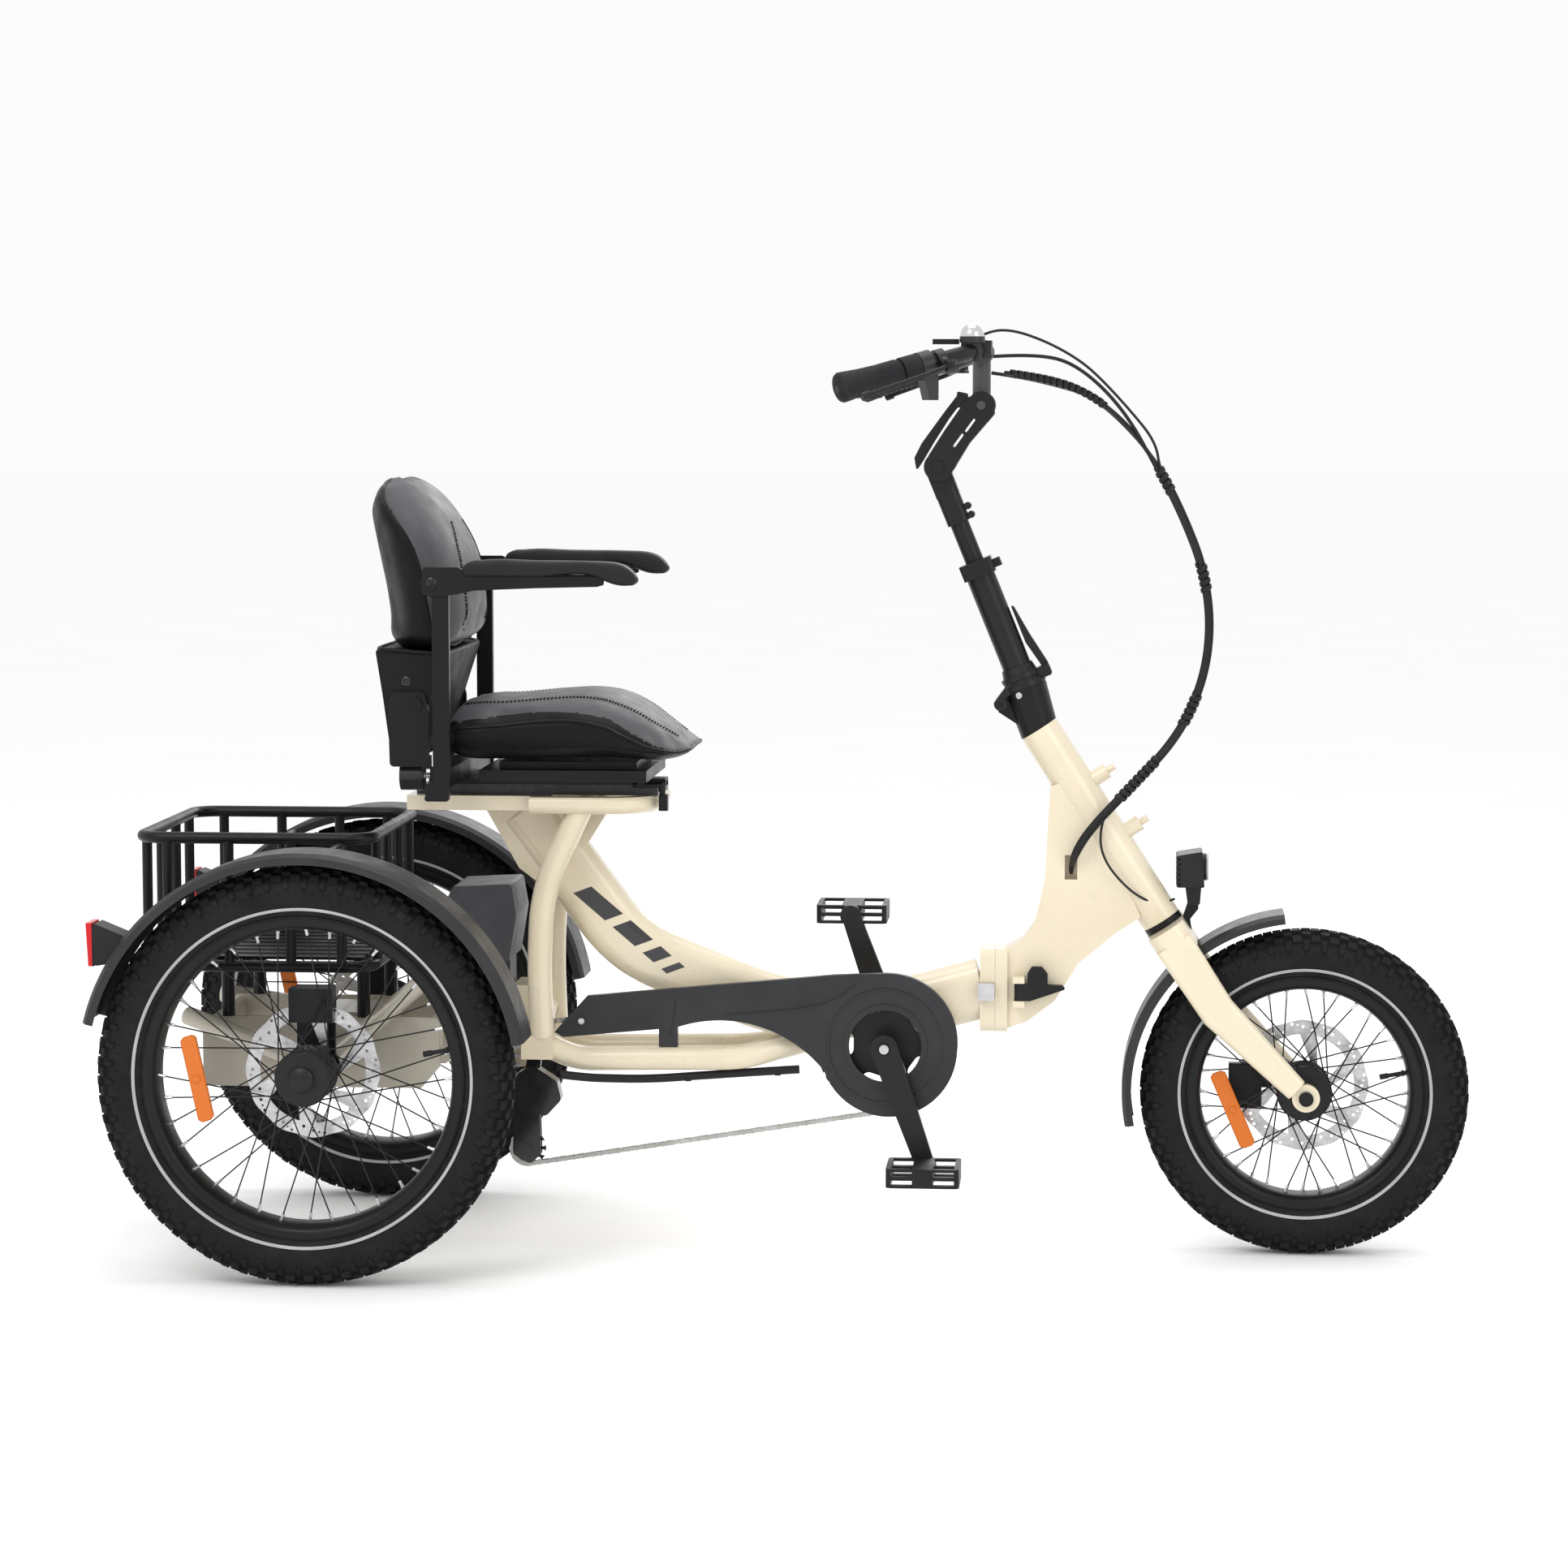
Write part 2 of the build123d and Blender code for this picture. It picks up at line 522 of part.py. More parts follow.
for name, side in (("rear_fender_right", -1), ("rear_fender_left", 1)):
    fender = Pos(0, side * half_track, 0) * fender_band(0, rear_radius, fender_in, fender_half_width,
                                                        10, 166, 12)
    inner_y = half_track - fender_half_width + 1
    post_y = inside + basket_tube_r - 1 + seat_gap
    for x in (hoop_rear + 125, hoop_front - 40):
        stay_z = rear_radius + ((fender_in - 6) ** 2 - x * x) ** 0.5
        z_at = min(stay_z, rail_z)
        fender += rod((x, side * post_y, z_at), (x, side * (inner_y + 1), z_at), 6)
    add(name, fender)
    y0, y1 = sorted((side * (half_track - 22), side * (half_track + 22)))
    lamp = plate([(-240, 470), (-284, 488), (-281, 429), (-240, 436)], y0, y1, 4)
    lamp -= disc(0, rear_radius, y0 - 5, y1 + 5, fender_out + seat_gap)
    add("tail_lights", lamp)
    add("tail_lights", plate([(-284.4, 487), (-292, 487), (-289, 429), (-281.4, 429)], y0, y1))

    rotor_y = side * (half_track - rotor_offset + 1)
    in_dir = -side
    lo, hi = sorted((rotor_y - in_dir * 13, rotor_y + in_dir * 15))
    caliper = box(-30, 30, lo, hi, rear_radius + 66, rear_radius + 112)
    slot = sorted((rotor_y - in_dir * 2, rotor_y + in_dir * 4))
    caliper -= box(-40, 40, *slot, rear_radius + 60, rear_radius + 96)
    ring_lo, ring_hi = sorted((side * (bearing_y - 9), side * (bearing_y - 1)))
    bracket = box(-26, 26, ring_lo, ring_hi, rear_radius, rear_radius + 112)
    bracket += disc(0, rear_radius, ring_lo, ring_hi, 32)
    bracket += box(-26, 26, *sorted((side * (bearing_y - 9), lo if side > 0 else hi)),
                   rear_radius + 98, rear_radius + 112)
    bracket -= disc(0, rear_radius, ring_lo - 1, ring_hi + 1, 24 + seat_gap)
    bracket -= rod((6, side * (bearing_y - 20), 282), (120, side * 112, 378), 14)
    bracket -= rod((-6, side * (bearing_y - 20), 282), (-206, side * 112, 330), 14)
    add("rear_calipers", caliper + bracket)

# ---- front half of the frame: hinge flange, gusseted tube and head tube
head_dir = (-cos(radians(head_angle)), sin(radians(head_angle)))
head_foot = (1140, 464)


def head_point(t, ahead=0):
    """A point t up the steering axis and so far ahead of it, as (x, z)."""
    return (head_foot[0] + head_dir[0] * t + head_dir[1] * ahead,
            head_foot[1] + head_dir[1] * t - head_dir[0] * ahead)


def head_plane(t, ahead=0):
    """A plane square to the steering axis."""
    x, z = head_point(t, ahead)
    return Plane(origin=(x, 0, z), x_dir=(0, 1, 0), z_dir=(head_dir[0], 0, head_dir[1]))


front = box(hinge_x + 0.15, hinge_x + hinge_flange, -30, 30, hinge_bottom, hinge_top)
front = fillet(front.edges().filter_by(Axis.X), 14)
front += plate([(hinge_x + 6, 309), (955, 322), (994, 352), (1026, 404), (1076, 446), (1112, 470),
                (1092, 512), (1000, 655), (986, 650), (983, 600), (979, 520), (966, 462), (948, 436),
                (hinge_x + 6, 420)], -23, 23)
front += extrude(head_plane(0) * Circle(head_r), head_length)
front -= extrude(head_plane(-5) * Circle(22), head_length + 10)
ear = Pos(hinge_x, hinge_pin_y, knuckle_low + 1.5 * knuckle_third) * Cylinder(10, knuckle_third - 0.6)
ear += box(hinge_x + 4, hinge_x + hinge_flange, 20, hinge_pin_y, knuckle_low + knuckle_third + 0.3,
           knuckle_low + 2 * knuckle_third - 0.3)
front += ear
front -= Pos(hinge_x, hinge_pin_y, 365) * Cylinder(hinge_pin_r + running_clearance, 200)
boss_r = 11
for t in (215, 130):
    a, b = head_point(t, 20), head_point(t, 48)
    front += rod((a[0], 0, a[1]), (b[0], 0, b[1]), boss_r)
front -= extrude(head_plane(-5) * Circle(22), head_length + 10)
grommet = (1015, 538)
loom_r = 8
grommet_gap = 0.6
front -= box(grommet[0] - loom_r - grommet_gap, grommet[0] + loom_r + grommet_gap, -33, -0.5,
             grommet[1] - 17, grommet[1] + 17)
add("front_frame", front)
for t in (215, 130):
    a, b = head_point(t, 48), head_point(t, 60)
    add("front_frame", rod((a[0], 0, a[1]), (b[0], 0, b[1]), 5))

# ---- frame latch on the right of the hinge: keeper, lever, and the ears that carry its pin
latch_x, latch_y, latch_z = 944, -40, 366
latch_pin_r = 3
add("frame_fittings", box(888, hinge_x - 0.5, -46, -30 - seat_gap, 354, 378))
latch = plate([(latch_x, 354), (latch_x, 378), (960, 378), (1004, 376), (1009, 371), (960, 354)],
              -46, -34, 1.5)
latch += plate([(956, 374), (956, 392), (962, 402), (976, 402), (984, 392), (984, 374)], -46, -38, 3)
latch += Pos(latch_x, latch_y, latch_z) * Cylinder(6, 24)
latch -= Pos(latch_x, latch_y, latch_z) * Cylinder(latch_pin_r + running_clearance, 60)
add("frame_latch", latch)
latch_pin = Pos(latch_x, latch_y, latch_z) * Cylinder(latch_pin_r, 42)
holder = nodes["front_frame"][0]
for z0, z1 in ((345, 354 - seat_gap), (378 + seat_gap, 387)):
    holder += box(latch_x - 8, latch_x + 8, -46, -22, z0, z1)
nodes["front_frame"][0] = (holder - latch_pin).solids()[0]
add("front_frame", latch_pin)

# ---- fork: steerer, crown, tapered legs and dropouts
leg_y = 64
fork = extrude(head_plane(-30) * Circle(steerer_r), head_length + 52)
crown = extrude(head_plane(-48) * RectangleRounded(2 * leg_y + 22, 56, 22), 38.5)
fork += crown
axle = (wheelbase, front_radius)
for side in (-1, 1):
    top = head_plane(-30, 0)
    top_plane = Plane(origin=top.origin + Vector(0, side * leg_y, 0), x_dir=(0, 1, 0), z_dir=top.z_dir)
    mid_plane = Plane(origin=(1218, side * leg_y, 345), x_dir=(0, 1, 0), z_dir=(-0.68, 0, 0.733))
    low_plane = Plane(origin=(1326, side * leg_y, 238), x_dir=(0, 1, 0), z_dir=(-0.74, 0, 0.67))
    leg = loft([top_plane * RectangleRounded(22, 54, 9), mid_plane * RectangleRounded(22, 50, 9)])
    leg += loft([mid_plane * RectangleRounded(22, 50, 9), low_plane * RectangleRounded(22, 32, 8)])
    y0, y1 = side * leg_y - 6, side * leg_y + 6
    fork += leg + disc(axle[0], axle[1], y0, y1, 19)
fork -= disc(axle[0], axle[1], -100, 100, front_axle_r + running_clearance)
add("fork", fork)

# ---- fork hardware: headset rings, mast foot with its fold knuckle, axle and lamp bracket
rings = extrude(head_plane(-8.9) * (Circle(head_r) - Circle(steerer_r + 0.1)), 8.6)
add("fork_hardware", rings)
mast_dir = (-0.377, 0.926)
split = (951, 783.5)
split_plane = Plane(origin=(split[0], 0, split[1]), x_dir=(0, 1, 0), z_dir=(mast_dir[0], 0, mast_dir[1]))
foot = loft([head_plane(head_length + seat_gap) * Circle(head_r), split_plane.offset(-0.2) * Circle(30)])
foot += disc(fold_pivot[0], fold_pivot[1], -12, 12, 10)
foot += plate([(fold_pivot[0] - 4, 752), (944, 732), (950, 768), (fold_pivot[0] + 4, 772)], -12, 12)
foot -= extrude(head_plane(head_length - 5) * Circle(steerer_r + 0.1), 27.5)
foot -= extrude(split_plane.offset(-0.2) * Rectangle(100, 100), 60)
foot += disc(fold_pivot[0], fold_pivot[1], -22, 22, 4)
add("fork_hardware", foot)
bolt_end = leg_y + 14
front_axle = disc(axle[0], axle[1], -bolt_end, bolt_end, front_axle_r)
for side in (-1, 1):
    y0, y1 = sorted((side * (leg_y + 6.2), side * bolt_end))
    front_axle += disc(axle[0], axle[1], y0, y1, 10)
add("fork_hardware", front_axle)
lamp_pivot = (1184.7, 492.6)
bracket = plate([(1176, 437), (1184, 437), (1180, 466), (1191, 480), (1191, 497), (1179, 497),
                 (1170, 470)], -7, 7)
bracket -= disc(lamp_pivot[0], lamp_pivot[1], -10, 10, 3.5 + running_clearance)
bracket -= nodes["fork"][0]
for solid in bracket.solids():
    if solid.volume > 900:
        add("fork_hardware", solid)

# ---- headlight with its yoke and lever
lamp = plate([(1160, 512), (1160, 556), (1196, 562), (1196, 540), (1199, 512)], -30, 30, 3)
for i in range(6):
    lamp -= box(1155, 1166, -40, 40, 515 + 7 * i, 518 + 7 * i)
lamp += Pos(1198, 0, 538) * Rot(0, 90, 0) * Cylinder(19, 12)
for side in (-1, 1):
    y0, y1 = sorted((side * 7.3, side * 11))
    lamp += plate([(1176, 486), (1193, 486), (1195, 515), (1172, 515)], y0, y1, 3)
lamp += disc(lamp_pivot[0], lamp_pivot[1], -11, 11, 3.5)
add("headlight", lamp)

# ---- front fender and caliper
front_fender_in = front_radius + fender_gap + 4
fender = fender_band(wheelbase, front_radius, front_fender_in, 44, 97, 191, 10)
crown_foot = head_point(-48)
reach = hypot(axle[0] - crown_foot[0], axle[1] - crown_foot[1])
toward = ((axle[0] - crown_foot[0]) / reach, (axle[1] - crown_foot[1]) / reach)
seat_drop = reach - front_fender_in - 1
fender += rod((crown_foot[0] + toward[0] * 0.6, 0, crown_foot[1] + toward[1] * 0.6),
              (crown_foot[0] + toward[0] * seat_drop, 0, crown_foot[1] + toward[1] * seat_drop), 7)
add("front_fender", fender - nodes["fork"][0])
caliper = box(1236, 1282, 37, leg_y - 11 - seat_gap, 196, 258) - box(1250, 1300, 43.4, 48.6, 190, 262)
caliper -= disc(axle[0], axle[1], 43.4, 48.6, rotor_r + 2)
caliper += box(1262, 1302, 49.5, leg_y - 11 - seat_gap, 222, 256)
add("front_caliper", caliper)

# ---- seat: sliding base with armrest tube and hinge ears, cushion, backrest
base = box(128, 420, -72, 72, rail_top + seat_gap, 660)
base += box(205, 436, -120, 120, 660, 676) + box(230, 420, -95, 95, 676, seat_height - seat_gap)
tube_in = 9.3
arm_tube_x, arm_tube_z = 162, 670
tube_end = arm_y - 6 - seat_gap
arm_tube = box(arm_tube_x - 13, arm_tube_x + 13, -tube_end, tube_end, 657, 683)
arm_tube -= box(arm_tube_x - tube_in, arm_tube_x + tube_in, -210, 210, arm_tube_z - tube_in,
                arm_tube_z + tube_in)
base += arm_tube
ear_y = 161
for side in (-1, 1):
    y0, y1 = sorted((side * ear_y, side * (ear_y + 6)))
    base += plate([(90, 684), (144, 684), (144, 760), (138, 786), (94, 786), (88, 770)], y0, y1, 6)
    base += disc(back_pivot[0], back_pivot[1], *sorted((side * (ear_y - 14), side * (ear_y + 10))), 8)
    y0, y1 = sorted((side * ear_y, side * (ear_y + 6)))
    base += box(134, 147, y0, y1, 681, 700) + box(134, 154, y0, y1, 681, 684)
    knob_hole = Pos(arm_tube_x - 12, side * 140, arm_tube_z) * Rot(0, 90, 0) * Cylinder(4.05, 20)
    base -= knob_hole
add("seat_base", base)

seat_side = make_face([
    ThreePointArc((152, 694), (148, 735), (158, 768)), Line((158, 768), (250, 766)),
    ThreePointArc((250, 766), (345, 779), (440, 752)), Line((440, 752), (500, 716)),
    ThreePointArc((500, 716), (504, 704), (490, 696)), Line((490, 696), (404, seat_height)),
    Line((404, seat_height), (170, seat_height)), Line((170, seat_height), (152, 694))])
seat_plane = Plane((0, -seat_half_width, 0), x_dir=(1, 0, 0), z_dir=(0, -1, 0))
cushion = extrude(seat_plane * seat_side, 2 * seat_half_width, dir=(0, 1, 0))
plan = Pos(326, 0, 730) * Box(356, 2 * seat_half_width, 140)
plan = fillet(plan.edges().filter_by(Axis.Z).group_by(Axis.X)[-1], 110)
cushion = cushion & fillet(plan.edges().filter_by(Axis.Z).group_by(Axis.X)[0], 30)
add("seat_cushion", cushion)

shell_y = ear_y - seat_gap
shell = plate([(90, 706), (128, 691), (134, 740), (150, 790), (166, 838), (70, 844.4), (80, 780)],
              -shell_y, shell_y, 5)
for side in (-1, 1):
    y0, y1 = sorted((side * (ear_y - 15), side * (ear_y + 1)))
    shell -= disc(back_pivot[0], back_pivot[1], y0, y1, 8 + running_clearance)
add("backrest_shell", shell)
back_side = make_face([
    Line((171, 838), (67, 845)), ThreePointArc((67, 845), (74, 880), (66, 947)),
    ThreePointArc((66, 947), (50, 1005), (48, 1060)), ThreePointArc((48, 1060), (76, 1080), (109, 1070)),
    ThreePointArc((109, 1070), (158, 1010), (181, 940)), ThreePointArc((181, 940), (187, 890), (183, 852)),
    ThreePointArc((183, 852), (179, 842), (171, 838))])
back_half = 172
back = extrude(Plane((0, -back_half, 0), x_dir=(1, 0, 0), z_dir=(0, -1, 0)) * back_side, 2 * back_half,
               dir=(0, 1, 0))
front_view = Pos(110, 0, 950) * Box(200, 2 * back_half, 262)
front_view = fillet(front_view.edges().filter_by(Axis.X).group_by(Axis.Z)[-1], 120)
front_view = fillet(front_view.edges().filter_by(Axis.X).group_by(Axis.Z)[0], 24)
add("backrest_cushion", back & front_view)

for name, side in (("right", -1), ("left", 1)):
    y0, y1 = side * (arm_y - 6), side * (arm_y + 6)
    post = box(155, 178, *sorted((y0, y1)), 655, 922)
    post += disc(arm_pivot[0] + 10, arm_pivot[1] - 9, *sorted((y0, y1)), 12)
    post += plate([(142, 640), (176, 640), (178, 668), (150, 668)], *sorted((y0, y1)), 4)
    post += disc(arm_pivot[0], arm_pivot[1], *sorted((y0, y1)), 11)
    post += box(arm_tube_x - 9, arm_tube_x + 9, *sorted((side * 60, y0)), arm_tube_z - 9, arm_tube_z + 9)
    post += disc(arm_pivot[0], arm_pivot[1], *sorted((y1, side * (arm_y + 14))), 5)
    add("arm_post_" + name, post)
    p0, p1 = sorted((side * (arm_y + 6 + seat_gap), side * (arm_y + 11)))
    arm = plate([(145, 921), (166, 917), (214, 926), (390, 932), (390, 946), (200, 946), (190, 958),
                 (145, 958)], p0, p1, 3)
    arm -= disc(arm_pivot[0], arm_pivot[1], p0 - 5, p1 + 5, 5 + running_clearance)
    add("armrest_" + name, arm)
    pad = plate([(198, 947), (210, 966), (400, 962), (428, 954), (434, 938), (396, 936), (386, 946)],
                *sorted((side * (arm_y - 20), side * (arm_y + 16))), 4)
    pad -= box(140, 392, p0 - seat_gap, p1 + seat_gap, 900, 946.4)
    add("armrest_" + name, pad)
    screw = Pos(142, side * 140, arm_tube_z) * Rot(0, 90, 0) * Cylinder(4, 20)
    screw += Pos(117, side * 140, arm_tube_z) * Rot(0, 90, 0) * Cylinder(20, 31)
    add("knob_" + name, screw)

handle_y = -72 - 4 - seat_gap
handle_z = 653
handle = rod((412, handle_y, handle_z), (452, handle_y, handle_z), 4)
handle += rod((452, handle_y, handle_z), (456, handle_y, 626), 4)
handle += Pos(452, handle_y, handle_z) * Sphere(4)
handle += disc(424, handle_z, handle_y - 4.5, handle_y + 4, 5.5)
handle += box(449, 461, handle_y - 8, handle_y + 8, 618, 640)
add("slide_handle", handle)

# ---- mast: lower tube with flange and collar, height post, tilting stem
def mast_point(t, ahead=0):
    """A point t up the mast from the fold line and so far ahead of it, as (x, z)."""
    return (split[0] + mast_dir[0] * t + mast_dir[1] * ahead, split[1] + mast_dir[1] * t
            - mast_dir[0] * ahead)


def mast_plane(t, ahead=0):
    """A plane square to the mast."""
    x, z = mast_point(t, ahead)
    return Plane(origin=(x, 0, z), x_dir=(0, 1, 0), z_dir=(mast_dir[0], 0, mast_dir[1]))


mast_length = 184
mast = loft([mast_plane(0.2) * Circle(30), mast_plane(34) * Circle(mast_r + 2)])
mast += extrude(mast_plane(3) * Circle(31), 7) + extrude(mast_plane(16) * Circle(28), 6)
mast += extrude(mast_plane(30) * Circle(mast_r), mast_length - 30)
mast += extrude(mast_plane(mast_length - 16) * RectangleRounded(50, 46, 6), 22)
mast += extrude(mast_plane(mast_length - 12, 26) * RectangleRounded(24, 16, 3), 12)
for side in (-1, 1):
    y0, y1 = sorted((side * (12 + seat_gap), side * 22))
    cheek = disc(fold_pivot[0], fold_pivot[1], y0, y1, 9)
    cheek += plate([(fold_pivot[0] - 8, fold_pivot[1] + 4), (fold_pivot[0] + 5, fold_pivot[1] + 8),
                    (945, 787), (930, 796)], y0, y1)
    mast += cheek
mast -= disc(fold_pivot[0], fold_pivot[1], -30, 30, 4 + running_clearance)
mast -= extrude(mast_plane(10) * Circle(post_r + running_clearance), mast_length)
latch_pin_t, latch_pin_ahead = 14, 36
pin_x, pin_z = mast_point(latch_pin_t, latch_pin_ahead)
for side in (-1, 1):
    y0, y1 = sorted((side * 7.3, side * 13))
    ear_plate = plate([mast_point(6, 24), mast_point(6, 42), mast_point(22, 42), mast_point(22, 20)],
                      y0, y1, 3)
    mast += ear_plate - extrude(mast_plane(-20) * Circle(20), 80)
mast += disc(pin_x, pin_z, -13, 13, 3)
mast -= disc(fold_pivot[0], fold_pivot[1], -12.2, 12.2, 12)
add("mast", mast)
lever = plate([mast_point(13, 41), mast_point(24, 42), mast_point(70, 33), mast_point(112, 27),
               mast_point(116, 23.5), mast_point(60, 23.5), mast_point(28, 31), mast_point(17, 33)],
              -7, 7, 1.2)
lever += disc(pin_x, pin_z, -7, 7, 5.5)
lever -= disc(pin_x, pin_z, -20, 20, 3 + running_clearance)
add("mast_latch", lever)

post = extrude(mast_plane(55) * Circle(post_r), 200)
post += extrude(mast_plane(247) * RectangleRounded(34, 32, 10), 50)
post += plate([mast_point(286, -16), mast_point(286, 16), (stem_pivot[0] + 17, stem_pivot[1] - 6),
               (stem_pivot[0] - 19, stem_pivot[1] - 4)], -15, 15, 3)
post += disc(stem_pivot[0], stem_pivot[1], -16, 16, 20)
post += disc(stem_pivot[0], stem_pivot[1], -25, 25, 8)
for t in (252, 265):
    bx, bz = mast_point(t, 20)
    post += disc(bx, bz, -12, 12, 5)
add("post", post)

arm = plate([(stem_pivot[0] - 16, stem_pivot[1] + 12), (stem_pivot[0] + 18, stem_pivot[1] - 8),
             (872, 1122), (906, 1162), (904, 1186), (870, 1186), (838, 1140)], -22, 22, 5)
arm += disc(stem_pivot[0], stem_pivot[1], -22, 22, 20) + disc(bar_pivot[0], bar_pivot[1], -22, 22, 19)
arm -= disc(stem_pivot[0], stem_pivot[1], -16 - seat_gap, 16 + seat_gap, 24)
arm -= disc(stem_pivot[0], stem_pivot[1], -30, 30, 8 + running_clearance)
arm -= disc(bar_pivot[0], bar_pivot[1], -13 - seat_gap, 13 + seat_gap, 25)
arm -= disc(bar_pivot[0], bar_pivot[1], -30, 30, 6 + running_clearance)
for a, b in (((851, 1118), (862, 1134)), ((869, 1141), (876, 1152))):
    arm -= extrude(Plane((0, 30, 0), x_dir=(1, 0, 0), z_dir=(0, -1, 0))
                   * SlotCenterToCenter(18, 4).moved(Location(((a[0] + b[0]) / 2, (a[1] + b[1]) / 2, 0),
                                                              (0, 0, 54))), 60)
lever_pivot = (862, 1186)
for side in (-1, 1):
    y0, y1 = sorted((side * (11 + seat_gap), side * 18))
    arm += plate([(852, 1170), (868, 1172), (869, 1190), (855, 1193)], y0, y1, 2)
arm += disc(lever_pivot[0], lever_pivot[1], -18, 18, 3)
add("stem_head", arm)
flap = plate([(866, 1191), (858, 1192), (838, 1166), (806, 1122), (796, 1102), (799, 1084), (808, 1098),
              (822, 1122), (843, 1155), (861, 1179)], -11, 11, 1.5)
flap -= disc(stem_pivot[0], stem_pivot[1], -20, 20, 22)
flap -= disc(lever_pivot[0], lever_pivot[1], -20, 20, 3 + running_clearance)
add("stem_lever", flap)

# ---- riser, handlebar, grips and controls
bar_x = 888
riser = rod((bar_pivot[0], 0, bar_pivot[1]), (bar_x, 0, bar_height - 8), 12.5)
riser += disc(bar_pivot[0], bar_pivot[1], -12.8, 12.8, 16)
riser += disc(bar_pivot[0], bar_pivot[1], -24, 24, 6)
riser += disc(bar_x, bar_height, -22, 22, 17)
bend, tip = (886, -168, bar_height), (706, -261, 1195)
bar_route = [bend[:1] + (0,) + bend[2:], bend, tip]
half_bar = pipe(bar_route, bar_r, 90)
handlebar = half_bar + mirror_y(half_bar)
bar_clear = pipe([(886, 30, bar_height)] + bar_route[1:], bar_r + running_clearance, 90)
bar_clear += mirror_y(bar_clear)
riser -= disc(bend[0], bar_height, -30, 30, bar_r + running_clearance)
add("riser", riser)
add("handlebar", handlebar)
along = (Vector(tip) - Vector(bend)).normalized()


def on_grip(t, inward=0, up=0):
    """A point t back from the bar's bend, moved inward and up, on the right side."""
    side_way = Vector(along.Y, -along.X, 0).normalized() * -1
    return Vector(bend) + along * t + side_way * inward + Vector(0, 0, up)


def sleeve(t0, t1, r0, r1=None, bore=bar_r + running_clearance):
    """A sleeve round the bar from t0 to t1."""
    a = on_grip(t0)
    solid = loft([Plane(origin=a, z_dir=along) * Circle(r0),
                  Plane(origin=on_grip(t1), z_dir=along) * Circle(r1 or r0)])
    return solid - extrude(Plane(origin=on_grip(t0 - 1), z_dir=along) * Circle(bore), t1 - t0 + 2)


grip = sleeve(114, 175, grip_r, 18.5) + sleeve(174, 209, 18.5, 21)
add("grips", grip, mirror_y(grip))
add("shift_sleeve", sleeve(88, 113.4, 18.5))
housing = sleeve(70, 87.4, 19)
low = on_grip(76, 0, -30)
housing += Pos(low) * Rot(0, 0, degrees(atan2(along.Y, along.X))) * Box(26, 24, 34)
housing -= bar_clear
housing -= extrude(Plane(origin=on_grip(87.6), z_dir=along) * Circle(60), 60)
add("bar_controls", housing)
for name, flip in (("right", False), ("left", True)):
    clamp = sleeve(50, 62, 16)
    mount = rod(on_grip(56, 14), on_grip(56, 25, -6), 6)
    body = clamp + mount
    pivot = on_grip(56, 36, -6)
    ears = Pos(pivot + Vector(0, 0, 6)) * Cylinder(8, 4) + Pos(pivot - Vector(0, 0, 6)) * Cylinder(8, 4)
    web = Pos(on_grip(56, 27, -6)) * Box(12, 12, 16)
    body += ears + web
    body -= bar_clear + Pos(pivot) * Cylinder(11, 8)
    body += Pos(pivot) * Cylinder(2.5, 14)
    blade = Pos(pivot) * Cylinder(7, 7.4)
    blade += pipe([on_grip(56, 36, -6), on_grip(90, 46, -8), on_grip(186, 42, -14)], 3.4, 30)
    blade += rod(on_grip(181, 42.2, -13.7), on_grip(191, 41.8, -14.3), 5.6)
    blade -= Pos(pivot) * Cylinder(2.5 + running_clearance, 30)
    blade -= Pos(pivot + Vector(0, 0, 8)) * Cylinder(12, 8.4)
    blade -= Pos(pivot - Vector(0, 0, 8)) * Cylinder(12, 8.4)
    if flip:
        body, blade = mirror_y(body), mirror_y(blade)
    add("bar_controls", body)
    add("brake_lever_" + name, blade.solids().sort_by(SortBy.VOLUME)[-1])
display = box(864, 905, -125, -75, bar_height - 10, bar_height + 14)
display -= bar_clear
add("bar_controls", display)
bell_y = -148
bell_x = 880
dome = Pos(bell_x, bell_y, bar_height + 21) * Sphere(16) & box(850, 910, -180, -120, bar_height + 21, 1400)
bell = Pos(bell_x, bell_y, bar_height + 16) * Cylinder(17, 10) + dome
bell += box(bell_x - 12, bell_x + 12, bell_y - 7, bell_y + 7, bar_height - 14, bar_height + 14)
add("bar_controls", bell - bar_clear)
lobe = Pos(bell_x - 38, bell_y, bar_height + 12) * Box(30, 14, 7)
lobe += Pos(bell_x - 20.5, bell_y, bar_height + 12) * Box(6, 8, 7)
lobe -= Pos(bell_x, bell_y, bar_height + 12) * Cylinder(17 + seat_gap, 30)
add("bell_striker", lobe)

# ---- cables: loom in front of the head tube, lamp lead, and leads under the rear frame
loom_route = [(grommet[0], -5, 529), (grommet[0], -30, 540), (1023, -46, 565),
              (1044, -48, 597), (1096, -48, 652), (1159, -48, 720), (1194, -48, 797),
              (1204, -48, 875), (1193, -48, 952), (1167, -48, 1019),
              (1134, -48, 1085), (1089, -50, 1149), (1034, -58, 1192), (975, -66, 1212),
              (921, -76, 1218)]
add("cable_loom", pipe(loom_route, loom_r))
rear_lead = [(312, -88, 250), (352, -70, 243), (430, -56, 240), (540, -52, 248.4), (640, -40, 254)]
lead_r = 6
add("rear_cables", pipe(rear_lead, lead_r))
for name, route in (("cable_loom", loom_route), ("rear_cables", rear_lead)):
    line = FilletPolyline(*route, radius=bend_radii(route))
    section = pi * (loom_r if name == "cable_loom" else lead_r) ** 2
    made = sum(solid.volume for solid in nodes[name])
    print(name, "length", round(line.length, 1), "volume over section", round(made / section, 1),
          "tightest bend", round(min(bend_radii(route)), 1))

